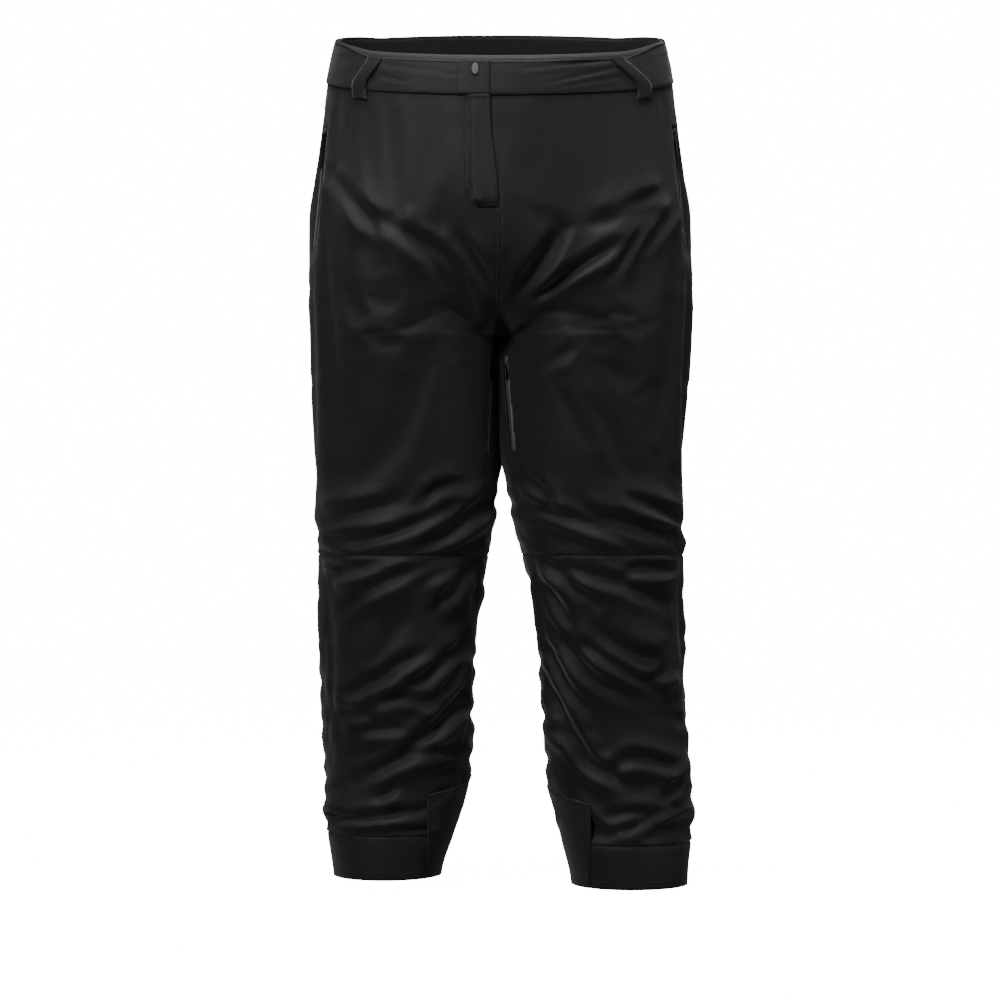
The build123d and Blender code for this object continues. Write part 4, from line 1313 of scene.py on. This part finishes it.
# ================================================================ lower legs: guards, gaiters and seams
for s in SIGN:
    sg = SIGN[s]
    legs = [f"lower_leg_{s}", f"hem_{s}"]
    low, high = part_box(f"scuff_guard_{s}")
    edge_x = max(abs(low[0]), abs(high[0]))
    rows = []
    for t in np.linspace(0, 1, 44):
        row = []
        for u in np.linspace(-1, 1, 44):
            z = HEM[s] + 0.0006 + 0.10 * t
            for _ in range(4):
                xo, xi, yc, half = (float(v) for v in outline(s, z))
                reach = math.acos(np.clip(((xo + xi) / 2 - edge_x) / ((xo - xi) / 2), -1, 1))
                theta = u * reach
                y = yc - half * math.sin(theta)
                z = HEM[s] + 0.0006 + (0.1245 + math.tan(math.radians(12)) * y) * t
            p = leg_ring(s, np.array(z), np.array(theta))
            q = leg_ring(s, np.array(z), np.array(theta + 0.01))
            q = q - leg_ring(s, np.array(z), np.array(theta - 0.01))
            n = unit(np.cross(q, (0, 0, 1)))
            n = n * np.sign(n @ (p - np.array([sg * (xo + xi) / 2, yc, z])))
            best = 0.0
            for name in legs:
                hit = SURFACE[name].ray_cast(Vector(p + n * 0.03), Vector(-n), 0.05)
                if hit[0] is not None:
                    best = max(best, 0.03 - hit[3])
            row.append((p, n, best))
        rows.append(row)
    rise = np.array([[c[2] for c in row] for row in rows])
    for _ in range(2):
        pad = np.pad(rise, 1, mode="edge")
        mean = (pad[:-2, 1:-1] + pad[2:, 1:-1] + pad[1:-1, :-2] + pad[1:-1, 2:]) / 4
        rise = np.maximum(rise, mean)
    pts = np.array([[c[0] + c[1] * (rise[i, k] + 0.0020) for k, c in enumerate(row)]
                    for i, row in enumerate(rows)])
    xo, xi = (float(v) for v in outline(s, HEM[s])[:2])
    guard = sheet_piece(f"scuff_guard_{s}_cloth", pts, GUARD, 0.0013, centre=(sg * (xo + xi) / 2, 0, 0))
    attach(guard, f"shin_{s}")
    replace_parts(guard, f"scuff_guard_{s}")
    edge = [pts[1:-2, 1], pts[-2, 1:-1], pts[1:-2, -2]]
    rows = [on_piece([guard.name], list(line)) for line in edge]
    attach(stitches(f"scuff_guard_{s}_stitches", rows), f"shin_{s}")

    theta = np.linspace(0, 2 * math.pi, 260, endpoint=False)
    top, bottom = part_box(f"gaiter_{s}")[1][2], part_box(f"gaiter_{s}")[0][2]
    rows = []
    for t in np.linspace(0, 1, 26):
        z = top + (bottom - top) * t
        inset = 0.0118 + 0.0175 * float(smooth(0, 1, np.array(t))) + 0.0016 * np.sin(theta * 46) * t ** 1.5
        rows.append(leg_sheet(s, np.array(z), theta, inset))
    gaiter = sheet_piece(f"gaiter_{s}_cloth", np.array(rows), GAITER, 0.0008, wrap=True,
                         centre=(sg * 0.14, 0, 0))
    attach(gaiter, f"shin_{s}")
    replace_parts(gaiter, f"gaiter_{s}")
    low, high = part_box(f"gaiter_grip_{s}")
    rows = []
    for t in np.linspace(0, 1, 8):
        z = high[2] + (low[2] - high[2]) * t
        inset = 0.0322 + 0.0003 * np.sin(theta * 46)
        rows.append(leg_sheet(s, np.array(z), theta, inset))
    grip = sheet_piece(f"gaiter_grip_{s}_band", np.array(rows), GRIP, 0.0018, wrap=True,
                       centre=(sg * 0.14, 0, 0))
    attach(grip, f"shin_{s}")
    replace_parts(grip, f"gaiter_grip_{s}")

    ring = np.linspace(0, 2 * math.pi, 300)
    rows = [on_piece([f"upper_leg_{s}"], leg_ring(s, np.full_like(ring, KNEE_TOP[s] + 0.0036), ring))]
    with_upper(stitches(f"knee_seam_{s}_stitches", rows))
    rows = [on_piece([f"lower_leg_{s}"], leg_ring(s, np.full_like(ring, HEM_SEAM[s] + 0.003), ring))]
    with_lower(stitches(f"hem_seam_{s}_stitches", rows))
    rows = [on_piece([f"hem_{s}"], leg_ring(s, np.full_like(ring, HEM[s] + 0.009), ring))]
    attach(stitches(f"hem_{s}_stitches", rows), f"shin_{s}")
for s in SIGN:
    for word, beta, top, count in (("front", 0.0, -0.235, 60), ("back", math.pi, -0.06, 90)):
        pts = []
        for z in np.linspace(top, CROTCH + 0.012, count):
            share = part_ratio(np.array([beta]), np.array([z - CROTCH]))
            x, y = around(s, np.array([abs(beta - 0.014)]), np.array([z]), share)
            pts.append((SIGN[s] * 0.0032, y[0], z))
        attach(stitches(f"centre_{word}_{s}_stitches", [on_piece([f"upper_leg_{s}"], pts)]), "pelvis")

HARD = {"snap_cap": SNAP, "snap_stud": SNAP, "snap_socket": SNAP, "fly_slider": METAL, "fly_puller": METAL}
for s in SIGN:
    HARD[f"pocket_{s}_slider"] = METAL
    HARD[f"pocket_{s}_puller"] = RUBBER
for name, mat in HARD.items():
    ob = frame["nodes"][name]
    ob.data.materials.clear()
    ob.data.materials.append(mat)

# ================================================================ floor, light and camera
def stage_plane(name, size, location, rotation, color, glow):
    """A glowing plane that the camera sees, but that doesn't light the part."""
    bpy.ops.mesh.primitive_plane_add(size=size, location=location, rotation=rotation)
    ob = bpy.context.object
    ob.name = name
    mat = bpy.data.materials.new(name)
    mat.use_nodes = True
    b = mat.node_tree.nodes["Principled BSDF"]
    b.inputs["Base Color"].default_value = (*color, 1)
    b.inputs["Roughness"].default_value = 0.9
    b.inputs["Emission Color"].default_value = (1, 1, 1, 1)
    b.inputs["Emission Strength"].default_value = glow
    ob.data.materials.append(mat)
    ob.visible_diffuse = ob.visible_glossy = False
    return ob


STAGE_SIZE, STAGE_COLOR, STAGE_GLOW = 30, (0.8, 0.8, 0.8), 16.0      # the glow makes them plain white
stage_plane("floor", STAGE_SIZE, (0, 0, HEM["l"] - 0.002), (0, 0, 0), STAGE_COLOR, STAGE_GLOW)
stage_plane("backdrop", STAGE_SIZE, (0, 8, 2), (math.pi / 2, 0, 0), STAGE_COLOR, STAGE_GLOW)


def area_light(name, location, target, size, power):
    data = bpy.data.lights.new(name, "AREA")
    data.shape = "RECTANGLE"
    data.size, data.size_y = size
    data.energy = power
    ob = bpy.data.objects.new(name, data)
    ob.location = location
    ob.rotation_euler = (Vector(target) - Vector(location)).to_track_quat("-Z", "Y").to_euler()
    bpy.context.collection.objects.link(ob)


area_light("key", (-1.6, -2.6, 1.6), (0, 0, -0.36), (0.9, 0.9), 58)
area_light("fill", (2.4, -2.2, 0.4), (0, 0, -0.4), (0.8, 1.2), 15)
area_light("back", (0.8, 3.0, 1.0), (0, 0, -0.5), (1.2, 1.2), 26)
area_light("top", (0, -0.6, 2.4), (0, 0, -0.25), (1.1, 0.9), 50)
world = bpy.data.worlds.new("world")
world.use_nodes = True
world.node_tree.nodes["Background"].inputs["Color"].default_value = (1, 1, 1, 1)
world.node_tree.nodes["Background"].inputs["Strength"].default_value = 0.07
bpy.context.scene.world = world

CAMERA_PLACE = (0, -5, -0.586)           # straight in front, level with the photo's middle
SENSOR_MM, LENS_MM = 36, 140.2
cam_data = bpy.data.cameras.new("camera")
cam = bpy.data.objects.new("camera", cam_data)
cam.location = CAMERA_PLACE
cam.rotation_euler = (math.pi / 2, 0, 0)
cam_data.sensor_width = SENSOR_MM
cam_data.lens = LENS_MM
bpy.context.collection.objects.link(cam)
bpy.context.scene.camera = cam
